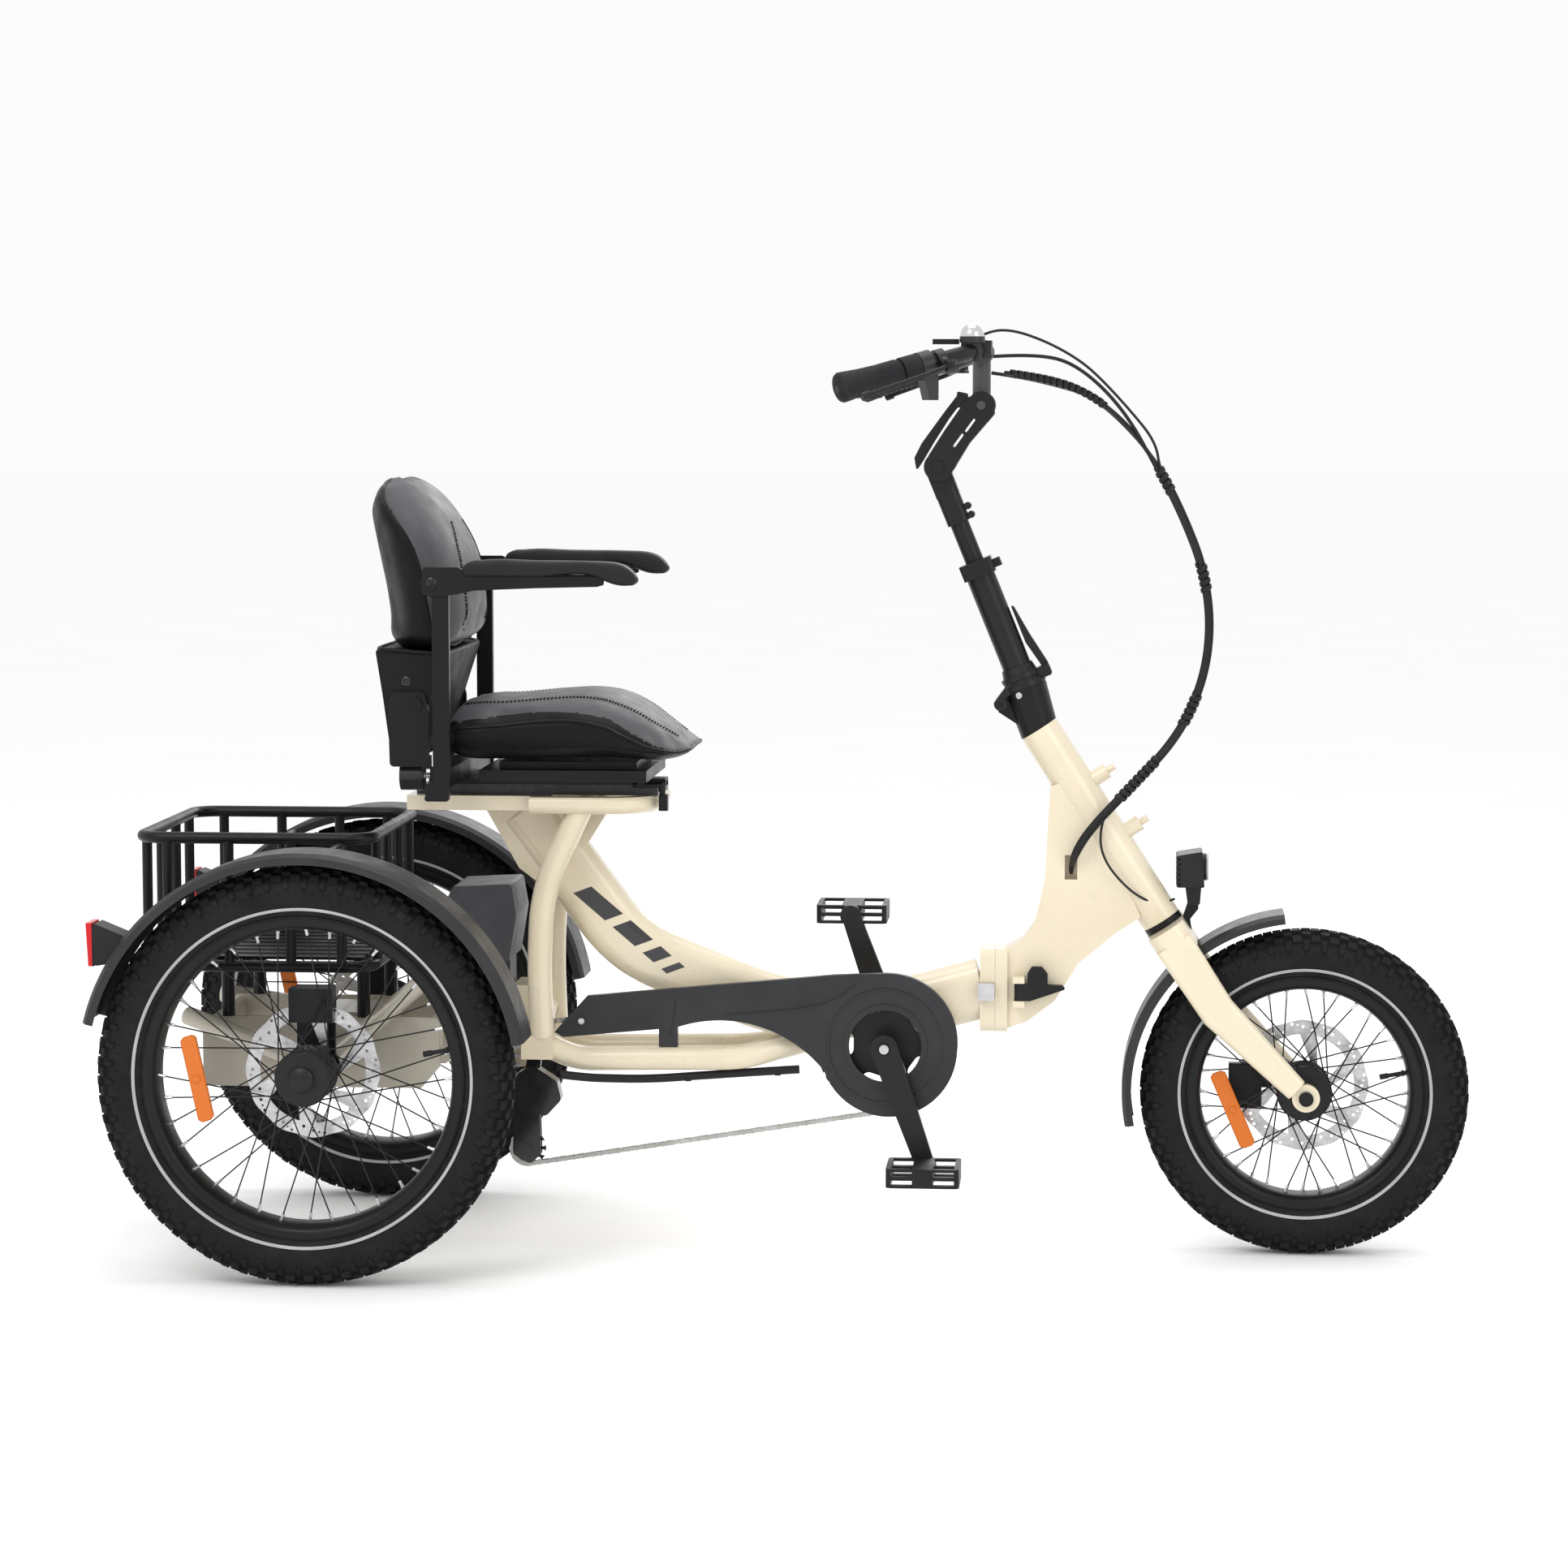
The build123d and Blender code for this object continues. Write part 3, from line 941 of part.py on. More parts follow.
# ---- files: origin under the middle of the tricycle
middle_x = (wheelbase + front_radius - rear_overhang) / 2
os.makedirs("parts", exist_ok=True)
for node, solids in nodes.items():
    moved = [Pos(-middle_x, 0, 0) * solid for solid in solids]
    export_step(Compound(children=moved) if len(moved) > 1 else moved[0], f"parts/{node}.step")
print(len(nodes), "nodes, middle at", middle_x)
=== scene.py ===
# %% [markdown]
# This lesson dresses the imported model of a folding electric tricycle. Every hard part
# already has its exact size and its joints, so the model is loaded first and never moved.
# What is added on top is surface: rubber, paint, stitched vinyl, spokes, links and wires.
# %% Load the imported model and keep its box
import json
import math

import bmesh
import bpy
import numpy as np
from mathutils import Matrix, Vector
from mathutils.bvhtree import BVHTree


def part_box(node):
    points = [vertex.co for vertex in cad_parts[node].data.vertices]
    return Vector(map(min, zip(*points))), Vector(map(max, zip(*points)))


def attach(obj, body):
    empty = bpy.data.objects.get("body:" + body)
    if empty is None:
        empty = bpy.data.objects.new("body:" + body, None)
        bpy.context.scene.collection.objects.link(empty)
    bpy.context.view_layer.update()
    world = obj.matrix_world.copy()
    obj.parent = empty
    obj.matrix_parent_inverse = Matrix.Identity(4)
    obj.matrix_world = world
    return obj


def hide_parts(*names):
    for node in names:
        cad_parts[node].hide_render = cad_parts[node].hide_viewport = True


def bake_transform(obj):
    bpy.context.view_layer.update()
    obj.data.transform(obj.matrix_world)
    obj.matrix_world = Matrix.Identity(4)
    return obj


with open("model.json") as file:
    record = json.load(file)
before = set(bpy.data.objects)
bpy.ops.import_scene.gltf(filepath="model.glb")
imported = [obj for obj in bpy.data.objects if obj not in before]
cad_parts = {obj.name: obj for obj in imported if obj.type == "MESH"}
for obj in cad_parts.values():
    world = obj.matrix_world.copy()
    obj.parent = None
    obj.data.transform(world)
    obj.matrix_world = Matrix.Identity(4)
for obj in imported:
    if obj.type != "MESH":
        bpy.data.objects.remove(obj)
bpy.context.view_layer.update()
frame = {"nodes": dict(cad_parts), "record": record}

nodes = frame["nodes"]

# %% [markdown]
# The tricycle is described by stations in millimetres: x forward from the rear axle,
# y to the rider's left and z up from the ground. One function turns stations into the
# model's own metres, so that every later number can be read off a side view.
# %% Stations to metres
middle = 627.5


def place(points):
    """Stations in millimetres to metres: (x - middle, y, z) / 1000, for a whole array."""
    p = np.array(points, float).reshape(-1, 3)
    p[:, 0] -= middle
    return p / 1000


def smooth_curve(keys, at):
    """A smooth graph through (t, value...) rows: cubic Hermite pieces with mean slopes."""
    keys = np.array(keys, float)
    t, v = keys[:, 0], keys[:, 1:]
    slope = np.gradient(v, t, axis=0)
    i = np.clip(np.searchsorted(t, at, side="right") - 1, 0, len(t) - 2)
    h = (t[i + 1] - t[i])[:, None]
    s = ((at - t[i]) / (t[i + 1] - t[i]))[:, None]
    a, b, m, n = v[i], v[i + 1], slope[i] * h, slope[i + 1] * h
    out = a * (2 * s**3 - 3 * s**2 + 1) + m * (s**3 - 2 * s**2 + s)
    return out + b * (3 * s**2 - 2 * s**3) + n * (s**3 - s**2)


# %% [markdown]
# A shape is a grid of points worked out from two parameters. The small makers below turn
# a grid, a turned profile, a tube along a path or a flat outline into points and faces.
# Several of them can be joined into one piece, and one call paints it and lets it ride.
# %% Makers of points and faces
def grid_faces(rows, cols, loop_rows, loop_cols):
    """Quads between neighbours of a rows x cols grid, closed round where asked."""
    i = np.arange(rows if loop_rows else rows - 1)[:, None]
    j = np.arange(cols if loop_cols else cols - 1)[None, :]
    up, right = (i + 1) % rows, (j + 1) % cols
    quads = np.stack([i * cols + j, i * cols + right, up * cols + right, up * cols + j], -1)
    return quads.reshape(-1, 4).tolist()


def rings(grid, loop_rows=False, caps=True):
    """A stack of closed rings (rows x cols x 3) as a skin, with flat caps at its ends."""
    rows, cols = grid.shape[:2]
    faces = grid_faces(rows, cols, loop_rows, True)
    if caps and not loop_rows:
        faces += [list(range(cols)), list(range((rows - 1) * cols, rows * cols))]
    return grid.reshape(-1, 3), faces


def axes_for(direction, up=(0, 1, 0)):
    """Three unit axes as columns: across, up-like and the direction itself."""
    d = np.array(direction, float)
    d = d / np.linalg.norm(d, axis=-1, keepdims=True)
    across = np.cross(np.broadcast_to(np.array(up, float), d.shape), d)
    across /= np.linalg.norm(across, axis=-1, keepdims=True)
    return np.stack([across, np.cross(d, across), d], -1)


def turned(profile, centre, axis=(0, 1, 0), up=(0, 0, 1), steps=96, closed=True):
    """Turn (radius, height) points about an axis: centre + r cos a U + r sin a V + h W."""
    profile = np.array(profile, float)
    a = np.linspace(0, 2 * np.pi, steps, endpoint=False)
    frame_axes = axes_for(axis, up)
    local = np.stack([profile[:, 0][:, None] * np.cos(a), profile[:, 0][:, None] * np.sin(a),
                      np.broadcast_to(profile[:, 1][:, None], (len(profile), steps))], -1)
    return rings(np.array(centre, float) + local @ frame_axes.T, loop_rows=closed, caps=not closed)


def tube(path, radius, sides=12, up=(0, 1, 0), loop=False, flat=1.0):
    """Rings of a radius (one number or one a point) square to a path of points."""
    path = np.array(path, float)
    ahead = np.roll(path, -1, 0) - np.roll(path, 1, 0) if loop else np.gradient(path, axis=0)
    square = axes_for(ahead, up)
    a = np.linspace(0, 2 * np.pi, sides, endpoint=False)
    r = np.broadcast_to(np.array(radius, float), (len(path),))[:, None, None]
    circle = np.stack([np.cos(a), flat * np.sin(a)], -1)
    grid = path[:, None] + r * np.einsum("nij,kj->nki", square[:, :, :2], circle)
    return rings(grid, loop_rows=loop)


def prism(outline, y0, y1):
    """A side-view outline of (x, z) points carried across from y0 to y1."""
    o = np.array(outline, float)
    grid = np.stack([np.insert(o, 1, y, axis=1) for y in (y0, y1)])
    return rings(grid)


def copies(part, origins, axes):
    """The same small part at many places: origin + axes @ point, for all of them at once."""
    points, faces = np.array(part[0], float), part[1]
    origins = np.array(origins, float).reshape(-1, 3)
    spread = origins[:, None] + np.einsum("nij,kj->nki", np.array(axes), points)
    step = len(points)
    return spread.reshape(-1,
        3), [[v + i * step for v in f] for i in range(len(origins)) for f in faces]


def joined(parts):
    """Several (points, faces) parts as one."""
    points, faces, start = [], [], 0
    for p, f in parts:
        points.append(np.array(p, float).reshape(-1, 3))
        faces += [[v + start for v in face] for face in f]
        start += len(points[-1])
    return np.concatenate(points), faces


# %% Put a piece in the scene
def piece(name, parts, finish, body, stands_for=(), smooth=True, soften=0.0, ride=True):
    """Join parts into one mesh, merge doubles, face it outward, paint it and let it ride."""
    points, faces = joined(parts if isinstance(parts, list) else [parts])
    mesh = bpy.data.meshes.new(name)
    mesh.from_pydata(place(points).tolist(), [], faces)
    bm = bmesh.new()
    bm.from_mesh(mesh)
    bmesh.ops.remove_doubles(bm, verts=bm.verts, dist=1e-6)
    bmesh.ops.recalc_face_normals(bm, faces=bm.faces)
    bm.to_mesh(mesh)
    bm.free()
    mesh.materials.append(finish)
    obj = bpy.data.objects.new(name, mesh)
    bpy.context.scene.collection.objects.link(obj)
    mesh.polygons.foreach_set("use_smooth", np.full(len(mesh.polygons), smooth))
    if smooth:
        mesh.set_sharp_from_angle(angle=math.radians(38))
    if soften:
        bevel = obj.modifiers.new("edge", "BEVEL")
        bevel.width, bevel.segments, bevel.limit_method = soften / 1000, 2, "ANGLE"
        bevel.angle_limit = math.radians(40)
    if ride:
        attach(obj, body)
    if stands_for:
        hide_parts(*stands_for)
    return obj


# %% [markdown]
# Every finish is worked out from the place of each point on its own object, so it turns
# with a wheel and survives a pose. A finish mixes two colours with a cloudy noise, varies
# its gloss with a second one and raises a fine grain with a third.
# %% A recipe for finishes
class Finish:
    """A surface shader with named helpers that add noise, masks and bump to it."""

    def __init__(self, name, gloss=0.5, metal=0.0, coat=0.0, coat_gloss=0.1, sheen=0.0, mirror=0.5):
        self.material = bpy.data.materials.new(name)
        self.material.use_nodes = True
        self.tree = self.material.node_tree
        self.shader = self.tree.nodes["Principled BSDF"]
        self.shader.inputs["Roughness"].default_value = gloss
        self.shader.inputs["Metallic"].default_value = metal
        self.shader.inputs["Coat Weight"].default_value = coat
        self.shader.inputs["Coat Roughness"].default_value = coat_gloss
        self.shader.inputs["Sheen Weight"].default_value = sheen
        self.shader.inputs["Specular IOR Level"].default_value = mirror
        self.place = self.add("ShaderNodeTexCoord").outputs["Object"]
        self.height = None

    def add(self, kind, **values):
        """A node of a kind, with its settings set by name; values given for its inputs are not used."""
        node = self.tree.nodes.new(kind)
        for key, value in values.items():
            if hasattr(node, key) and key not in node.inputs:
                setattr(node, key, value)
        return node

    def feed(self, node, key, value):
        """Link an output into an input, or set its number."""
        if isinstance(value, bpy.types.NodeSocket):
            self.tree.links.new(value, node.inputs[key])
        else:
            node.inputs[key].default_value = value

    def noise(self, scale, detail=3.0, stretch=(1, 1, 1)):
        """Cloudy noise; stretch makes it finer along an axis."""
        mapping = self.add("ShaderNodeMapping")
        self.feed(mapping, "Vector", self.place)
        mapping.inputs["Scale"].default_value = stretch
        node = self.add("ShaderNodeTexNoise")
        self.feed(node, "Vector", mapping.outputs["Vector"])
        node.inputs["Scale"].default_value = scale
        node.inputs["Detail"].default_value = detail
        return node.outputs["Fac"]

    def cells(self, scale, feature="F1"):
        """Cell noise, as in leather grain."""
        node = self.add("ShaderNodeTexVoronoi", feature=feature)
        self.feed(node, "Vector", self.place)
        node.inputs["Scale"].default_value = scale
        return node.outputs["Distance"]

    def maths(self, operation, a, b=0.0):
        """One sum on two values."""
        node = self.add("ShaderNodeMath", operation=operation)
        self.feed(node, 0, a)
        self.feed(node, 1, b)
        return node.outputs[0]

    def ramp(self, value, from_low, from_high, low, high):
        """Carry a value from one range to another, held at the ends."""
        node = self.add("ShaderNodeMapRange")
        self.feed(node, "Value", value)
        for key, number in (("From Min", from_low), ("From Max", from_high), ("To Min", low),
            ("To Max", high)):
            node.inputs[key].default_value = number
        return node.outputs["Result"]

    def mix(self, share, a, b):
        """One colour over another by a share."""
        node = self.add("ShaderNodeMix", data_type="RGBA")
        self.feed(node, 0, share)
        for key, colour in ((6, a), (7, b)):
            if isinstance(colour, bpy.types.NodeSocket):
                self.tree.links.new(colour, node.inputs[key])
            else:
                node.inputs[key].default_value = (*colour, 1)
        return node.outputs[2]

    def axis(self, letter):
        """The x, y or z of a point, in metres."""
        node = self.add("ShaderNodeSeparateXYZ")
        self.feed(node, 0, self.place)
        return node.outputs["XYZ".index(letter)]

    def between(self, value, low, high, edge=0.0004):
        """1 between two values and 0 outside, with a narrow soft edge."""
        rise = self.ramp(value, low - edge, low + edge, 0, 1)
        fall = self.ramp(value, high - edge, high + edge, 1, 0)
        return self.maths("MULTIPLY", rise, fall)

    def inside(self, low, high):
        """1 inside a block given by two corners at stations, 0 outside."""
        (x0, y0, z0), (x1, y1, z1) = place([low, high])
        share = self.between(self.axis("X"), x0, x1)
        share = self.maths("MULTIPLY", share, self.between(self.axis("Y"), y0, y1))
        return self.maths("MULTIPLY", share, self.between(self.axis("Z"), z0, z1))

    def grain(self, height, strength, depth):
        """Raise the surface by a height pattern."""
        node = self.add("ShaderNodeBump")
        node.inputs["Strength"].default_value = strength
        node.inputs["Distance"].default_value = depth
        self.feed(node, "Height", height)
        if self.height is not None:
            self.feed(node, "Normal", self.height)
        self.height = node.outputs["Normal"]

    def close(self, colour, gloss=None, metal=None):
        """Join colour, gloss and bump to the shader and hand back the material."""
        self.feed(self.shader, "Base Color", colour)
        if gloss is not None:
            self.feed(self.shader, "Roughness", gloss)
        if metal is not None:
            self.feed(self.shader, "Metallic", metal)
        if self.height is not None:
            self.feed(self.shader, "Normal", self.height)
        return self.material


# %% [markdown]
# The frame is sprayed in a warm cream under a clear lacquer. Real paint is never one
# colour: it is a little deeper in broad clouds, and its lacquer has a fine orange-peel
# ripple that breaks up reflections. The rear axle housing gets a darker, greyer copy of the
# cream with a little metal flake: painted shade for the shadow it sits in.
# %% Paints
def paint(name, light, deep, gloss, coat, peel=0.05, flake=0.0, metal=0.0, mirror=0.5):
    """Sprayed paint: colour clouds, gloss spread, orange peel and an optional metal flake."""
    f = Finish(name, gloss, metal, coat, 0.06, mirror=mirror)
    colour = f.mix(f.ramp(f.noise(6, 4), 0.35, 0.7, 0, 1), light, deep)
    dust = f.ramp(f.noise(55, 6), 0.62, 0.75, 0, 0.10)
    colour = f.mix(dust, colour, tuple(0.55 * c for c in deep))
    if flake:
        colour = f.mix(f.ramp(f.noise(1500, 1), 0.5, 0.75, 0, flake), colour, (0.9, 0.86, 0.78))
    f.grain(f.noise(240, 2), peel, 0.0006)
    return f.close(colour, f.ramp(f.noise(30, 4), 0.3, 0.75, gloss - 0.05, gloss + 0.09))


cream = paint("cream_paint", (0.75, 0.665, 0.50), (0.69, 0.60, 0.435), 0.30, 0.45)
# The housing paint is the cream made darker and greyer, with a little flake: painted shade for its shadow.
housing_in_painted_shade = paint("champagne_paint", (0.50, 0.46, 0.385), (0.41, 0.375, 0.30), 0.36, 0.35,
    flake=0.35, metal=0.3)
black_paint = paint("black_powder_coat", (0.008, 0.008, 0.009), (0.005, 0.005, 0.0055), 0.34, 0.0,
    peel=0.22, mirror=0.22)
grey_paint = paint("grey_satin_paint", (0.060, 0.060, 0.064), (0.045, 0.045, 0.049), 0.34, 0.05,
    peel=0.12, mirror=0.35)
black_metal = paint("black_anodised", (0.009, 0.009, 0.010), (0.006, 0.006, 0.0065), 0.38, 0.0,
    peel=0.10, mirror=0.28)


# %% [markdown]
# Moulded plastic shows a spark-eroded texture: tiny pits from the mould. Rubber is duller
# and has coarser, softer clouds, with a little dust in its low places. Polished steel
# shows fine scratches drawn in the direction it was ground.
# %% Plastics, rubbers and metals
def plastic(name, light, deep, gloss, pit=0.25, pit_scale=900, coat=0.0, mirror=0.25):
    """Moulded plastic: pits of the mould over faint colour clouds."""
    f = Finish(name, gloss, 0.0, coat, mirror=mirror)
    colour = f.mix(f.ramp(f.noise(14, 4), 0.3, 0.7, 0, 1), light, deep)
    f.grain(f.cells(pit_scale), pit, 0.0003)
    return f.close(colour, f.ramp(f.noise(45, 4), 0.3, 0.7, gloss - 0.06, gloss + 0.08))


def rubber(name, light, deep, dust=0.12):
    """Rubber: soft clouds, fine grain and pale dust that gathers in patches."""
    f = Finish(name, 0.62, 0.0, mirror=0.16)
    colour = f.mix(f.ramp(f.noise(20, 5), 0.35, 0.7, 0, 1), light, deep)
    colour = f.mix(f.ramp(f.noise(70, 7), 0.55, 0.8, 0, dust), colour, (0.09, 0.085, 0.08))
    f.grain(f.noise(700, 3), 0.35, 0.0005)
    return f.close(colour, f.ramp(f.noise(60, 5), 0.3, 0.7, 0.52, 0.74))


def metal(name, light, deep, gloss, stretch=(1, 1, 1), scratch=0.15):
    """Bare metal: tone clouds and fine scratches drawn along one axis."""
    f = Finish(name, gloss, 1.0)
    colour = f.mix(f.ramp(f.noise(25, 4), 0.3, 0.75, 0, 1), light, deep)
    f.grain(f.noise(420, 5, stretch), scratch, 0.0003)
    return f.close(colour, f.ramp(f.noise(160, 5, stretch), 0.3, 0.7, gloss - 0.07, gloss + 0.14))


grey_plastic = plastic("grey_moulded_plastic", (0.026, 0.0265, 0.029), (0.018, 0.0185, 0.020),
    0.38, mirror=0.3)
black_plastic = plastic("black_moulded_plastic", (0.010, 0.010, 0.011), (0.006, 0.006, 0.007),
    0.42, 0.3)
gloss_black = plastic("gloss_black_plastic", (0.012, 0.012, 0.013), (0.008, 0.008, 0.009), 0.22,
    0.05, coat=0.4)
tyre_rubber = rubber("tyre_rubber", (0.0105, 0.0105, 0.011), (0.0065, 0.0065, 0.007), 0.07)
grip_rubber = rubber("grip_rubber", (0.020, 0.020, 0.022), (0.013, 0.013, 0.015), 0.05)
cable_skin = plastic("cable_sheath", (0.013, 0.013, 0.014), (0.008, 0.008, 0.009), 0.33, 0.12, 500)
steel = metal("polished_steel", (0.62, 0.62, 0.63), (0.48, 0.48, 0.49), 0.24, (1, 6, 1))
rotor_steel = metal("rotor_steel", (0.60, 0.60, 0.61), (0.46, 0.46, 0.47), 0.27, (1, 1, 1), 0.3)
link_steel = metal("chain_steel", (0.50, 0.49, 0.47), (0.34, 0.33, 0.31), 0.34)
reflect_grey = plastic("reflective_band", (0.42, 0.43, 0.44), (0.33, 0.34, 0.35), 0.3, 0.4, 1400)

# %% Lenses
def lens(name, light, deep, rib, cloudy=0.0):
    """A coloured lens moulded with small prisms: ribs along z crossed with ribs along x."""
    f = Finish(name, 0.18, 0.0, 0.25, 0.05, mirror=0.3)
    wave = f.maths("SINE", f.maths("MULTIPLY", f.axis("Z"), rib))
    cross = f.maths("SINE", f.maths("MULTIPLY", f.axis("X"), rib))
    facets = f.maths("MULTIPLY", wave, cross)
    f.grain(facets, 0.6, 0.0006)
    colour = f.mix(f.ramp(facets, -0.6, 0.8, 0, 1), deep, light)
    f.shader.inputs["Subsurface Weight"].default_value = cloudy
    return f.close(colour, f.ramp(f.noise(200, 3), 0.3, 0.7, 0.10, 0.24))


amber = lens("amber_reflector", (0.80, 0.20, 0.004), (0.58, 0.115, 0.002), 2600)
red_lens = lens("red_lamp_lens", (0.75, 0.012, 0.02), (0.45, 0.006, 0.012), 1800)
print("finishes", len(bpy.data.materials))

# %% [markdown]
# The camera stands to the right of the tricycle, a little in front of square and just
# above the wheel tops, far enough away that the near and far wheels keep their sizes.
# The floor is wide and pale, and large soft lamps hang round it as in a product studio.
# %% Camera
turn, lift, distance, aim_x, aim_z, focal = 4.604, 5.333, 5770.99, 615.214, 648.694, 5106.1
a, e = math.radians(turn), math.radians(lift)
back = Vector((math.sin(a) * math.cos(e), -math.cos(a) * math.cos(e), math.sin(e)))
lens_data = bpy.data.cameras.new("camera")
lens_data.lens = focal * lens_data.sensor_width / 1932
camera = bpy.data.objects.new("camera", lens_data)
camera.location = Vector(place([aim_x, 0, aim_z])[0]) + back * distance / 1000
camera.rotation_mode = "QUATERNION"
camera.rotation_quaternion = (-back).to_track_quat("-Z", "Y")
bpy.context.scene.collection.objects.link(camera)
bpy.context.scene.camera = camera
print("camera", camera.location[:], "lens", round(lens_data.lens, 2))


# %% Floor and lamps
def lamp(name, spot, target, size, power, tint=(1, 1, 1)):
    """A square soft lamp at a spot, turned to face a target, both in metres."""
    data = bpy.data.lights.new(name, "AREA")
    data.shape, data.size, data.energy, data.color = "SQUARE", size, power, tint
    obj = bpy.data.objects.new(name, data)
    obj.location = spot
    obj.rotation_mode = "QUATERNION"
    obj.rotation_quaternion = (Vector(target) - Vector(spot)).to_track_quat("-Z", "Y")
    bpy.context.scene.collection.objects.link(obj)
    return obj


floor_finish = Finish("studio_floor", 0.9)
floor_tone = floor_finish.mix(floor_finish.ramp(floor_finish.noise(2, 3), 0.3, 0.7, 0, 1),
    (0.995, 0.995, 0.995), (0.98, 0.98, 0.98))
floor_finish.close(floor_tone)
half = 60.0
floor_mesh = bpy.data.meshes.new("floor")
floor_mesh.from_pydata([(-half, -half, 0), (half, -half, 0), (half, half, 0), (-half, half, 0)],
    [], [(0, 1, 2, 3)])
floor_mesh.materials.append(floor_finish.material)
floor = bpy.data.objects.new("floor", floor_mesh)
bpy.context.scene.collection.objects.link(floor)
world = bpy.data.worlds.new("studio")
world.use_nodes = True
world.node_tree.nodes["Background"].inputs["Color"].default_value = (1, 1, 1, 1)
world.node_tree.nodes["Background"].inputs["Strength"].default_value = 0.97
bpy.context.scene.world = world
lamp("key", (-1.8, -3.4, 3.6), (0, 0, 0.5), 2.0, 62)
lamp("fill", (2.9, -3.0, 2.2), (0.3, 0, 0.6), 1.8, 24)
lamp("top", (0, 0.3, 4.4), (0, 0, 0), 2.6, 46)
lamp("rim", (0.6, 3.6, 2.6), (0, 0, 0.7), 2.2, 34)
bpy.context.scene.view_settings.view_transform = "Standard"

# %% [markdown]
# The tyre is a wide casing with rubber blocks in staggered rows, smaller and more upright
# towards the sidewall, and a thin reflective band moulded round each wall. The casing is
# one turned outline; every block is the same tapered lump copied round the wheel.
# %% Tyres
wheels = {"rear_right": (0, -315, 282, 1), "rear_left": (0, 315, 282, -1),
    "front": (1339, 0, 227, 1)}
wall_height, tread_pitch = 69, 27
casing_half = [(-69, 20), (-69, 26), (-64, 29), (-56, 33), (-47, 36.2), (-37, 37.4), (-27, 36.4),
               (-19, 33), (-12.5, 26.5), (-8.2, 18), (-6.2, 9), (-5.6, 0)]
inner_half = [(-11, 0), (-14, 18), (-24, 29), (-37, 32), (-56, 27), (-66, 22)]
casing = casing_half + [(r, -y) for r, y in casing_half[-2::-1]]
casing += [(r, -y) for r, y in inner_half[::-1]] + inner_half[1:]
casing = np.array(casing, float)


def block(length, width, height, taper=0.78):
    """A tread block standing on z = 0: a lump that narrows upward, sunk 2 mm."""
    base = np.array([(-1, -1), (1, -1), (1, 1), (-1, 1)]) * (length / 2, width / 2)
    low, high = np.insert(base, 2, -2.0, axis=1), np.insert(base * taper, 2, height, axis=1)
    return rings(np.stack([low, high]))


def tread_row(centre, radius, y, tilt, count, phase, shape):
    """Blocks round a wheel: at angle t, standing along cos(tilt) radial + sin(tilt) y."""
    t = (np.arange(count) + phase) * 2 * np.pi / count
    radial = np.stack([np.cos(t), 0 * t, np.sin(t)], -1)
    around = np.stack([-np.sin(t), 0 * t, np.cos(t)], -1)
    lean = math.radians(tilt) * np.sign(y)
    stand = math.cos(lean) * radial + math.sin(lean) * np.array([0, 1, 0])
    side = np.cross(stand, around)
    return copies(shape, np.array(centre) + radial * radius + np.array([0, y, 0]),
        np.stack([around, side, stand], -1))


for name, (x, y, radius, inboard) in wheels.items():
    hub_centre = (x, y, radius)
    count = round(2 * math.pi * radius / tread_pitch)
    rows = [tread_row(hub_centre, radius - 5.8, s * 7.5, 8, count, 0.25 * s,
        block(15, 10, 5)) for s in (-1, 1)]
    rows += [tread_row(hub_centre, radius - 8.6, s * 19.5, 24, count, 0.25 * s + 0.5,
        block(14, 9, 5.4)) for s in (-1, 1)]
    rows += [tread_row(hub_centre, radius - 14.2, s * 28.8, 46, count, 0.25 * s,
        block(16, 9, 5)) for s in (-1, 1)]
    rows += [tread_row(hub_centre, radius - 22.5, s * 34.8, 72, count, 0.25 * s + 0.5,
        block(8, 11, 2.6)) for s in (-1, 1)]
    rows += [tread_row(hub_centre, radius - 31.5, s * 36.9, 88, count * 2, 0.5,
        block(4, 7, 0.9)) for s in (-1, 1)]
    body = name + "_wheel"
    turned_casing = turned(casing + (radius, 0), hub_centre, steps=160)
    piece(name + "_tyre_rubber", [turned_casing] + rows, tyre_rubber, body,
        [name + "_tyre"])
    band = np.array([(-52.2, 34.9), (-52.2, 35.4), (-54.4, 35.2), (-56.2, 34.0), (-56.2, 33.2),
        (-54.4, 33.8)])
    bands = [turned(band * (1, s) + (radius, 0), hub_centre, steps=160) for s in (-1, 1)]
    bead = np.array([(-66, 28.2), (-64, 30.4), (-66, 31.2), (-68.5, 29)])
    piece(name + "_reflective_band", bands, reflect_grey, body)
    piece(name + "_tyre_bead",
        [turned(bead * (1, s) + (radius, 0), hub_centre, steps=128) for s in (-1, 1)],
          tyre_rubber, body)
    print(name, "blocks a row", count)

# %% [markdown]
# Thirty-six thin spokes cross from two hub flanges to the rim, each ending in a bright
# nipple. They carry the wheel by pull alone, so they are straight. The rim is a shallow
# double-walled channel with rolled edges that hold the tyre.
# %% Rims, spokes and nipples
spoke_count, flange_radius, flange_out, rim_depth = 36, 38, 26, 15


def spoke_lines(x, y, z, radius):
    """Both ends of every spoke: angle i * 10 degrees on the rim, 62 degrees on or back at the hub."""
    i = np.arange(spoke_count)
    side = np.where(i % 2, 1, -1)
    lead = np.where((i // 2) % 2, 1, -1)
    rim_angle = i * 2 * np.pi / spoke_count
    hub_angle = rim_angle + lead * np.radians(62)
    inner, outer = flange_radius - 4, radius - wall_height - rim_depth + 1
    start = np.stack([x + inner * np.cos(hub_angle), y + side * (flange_out + 1.8 * lead),
        z + inner * np.sin(hub_angle)], -1)
    end = np.stack([x + outer * np.cos(rim_angle), y + side * (8 + 3 * lead),
        z + outer * np.sin(rim_angle)], -1)
    return start, end


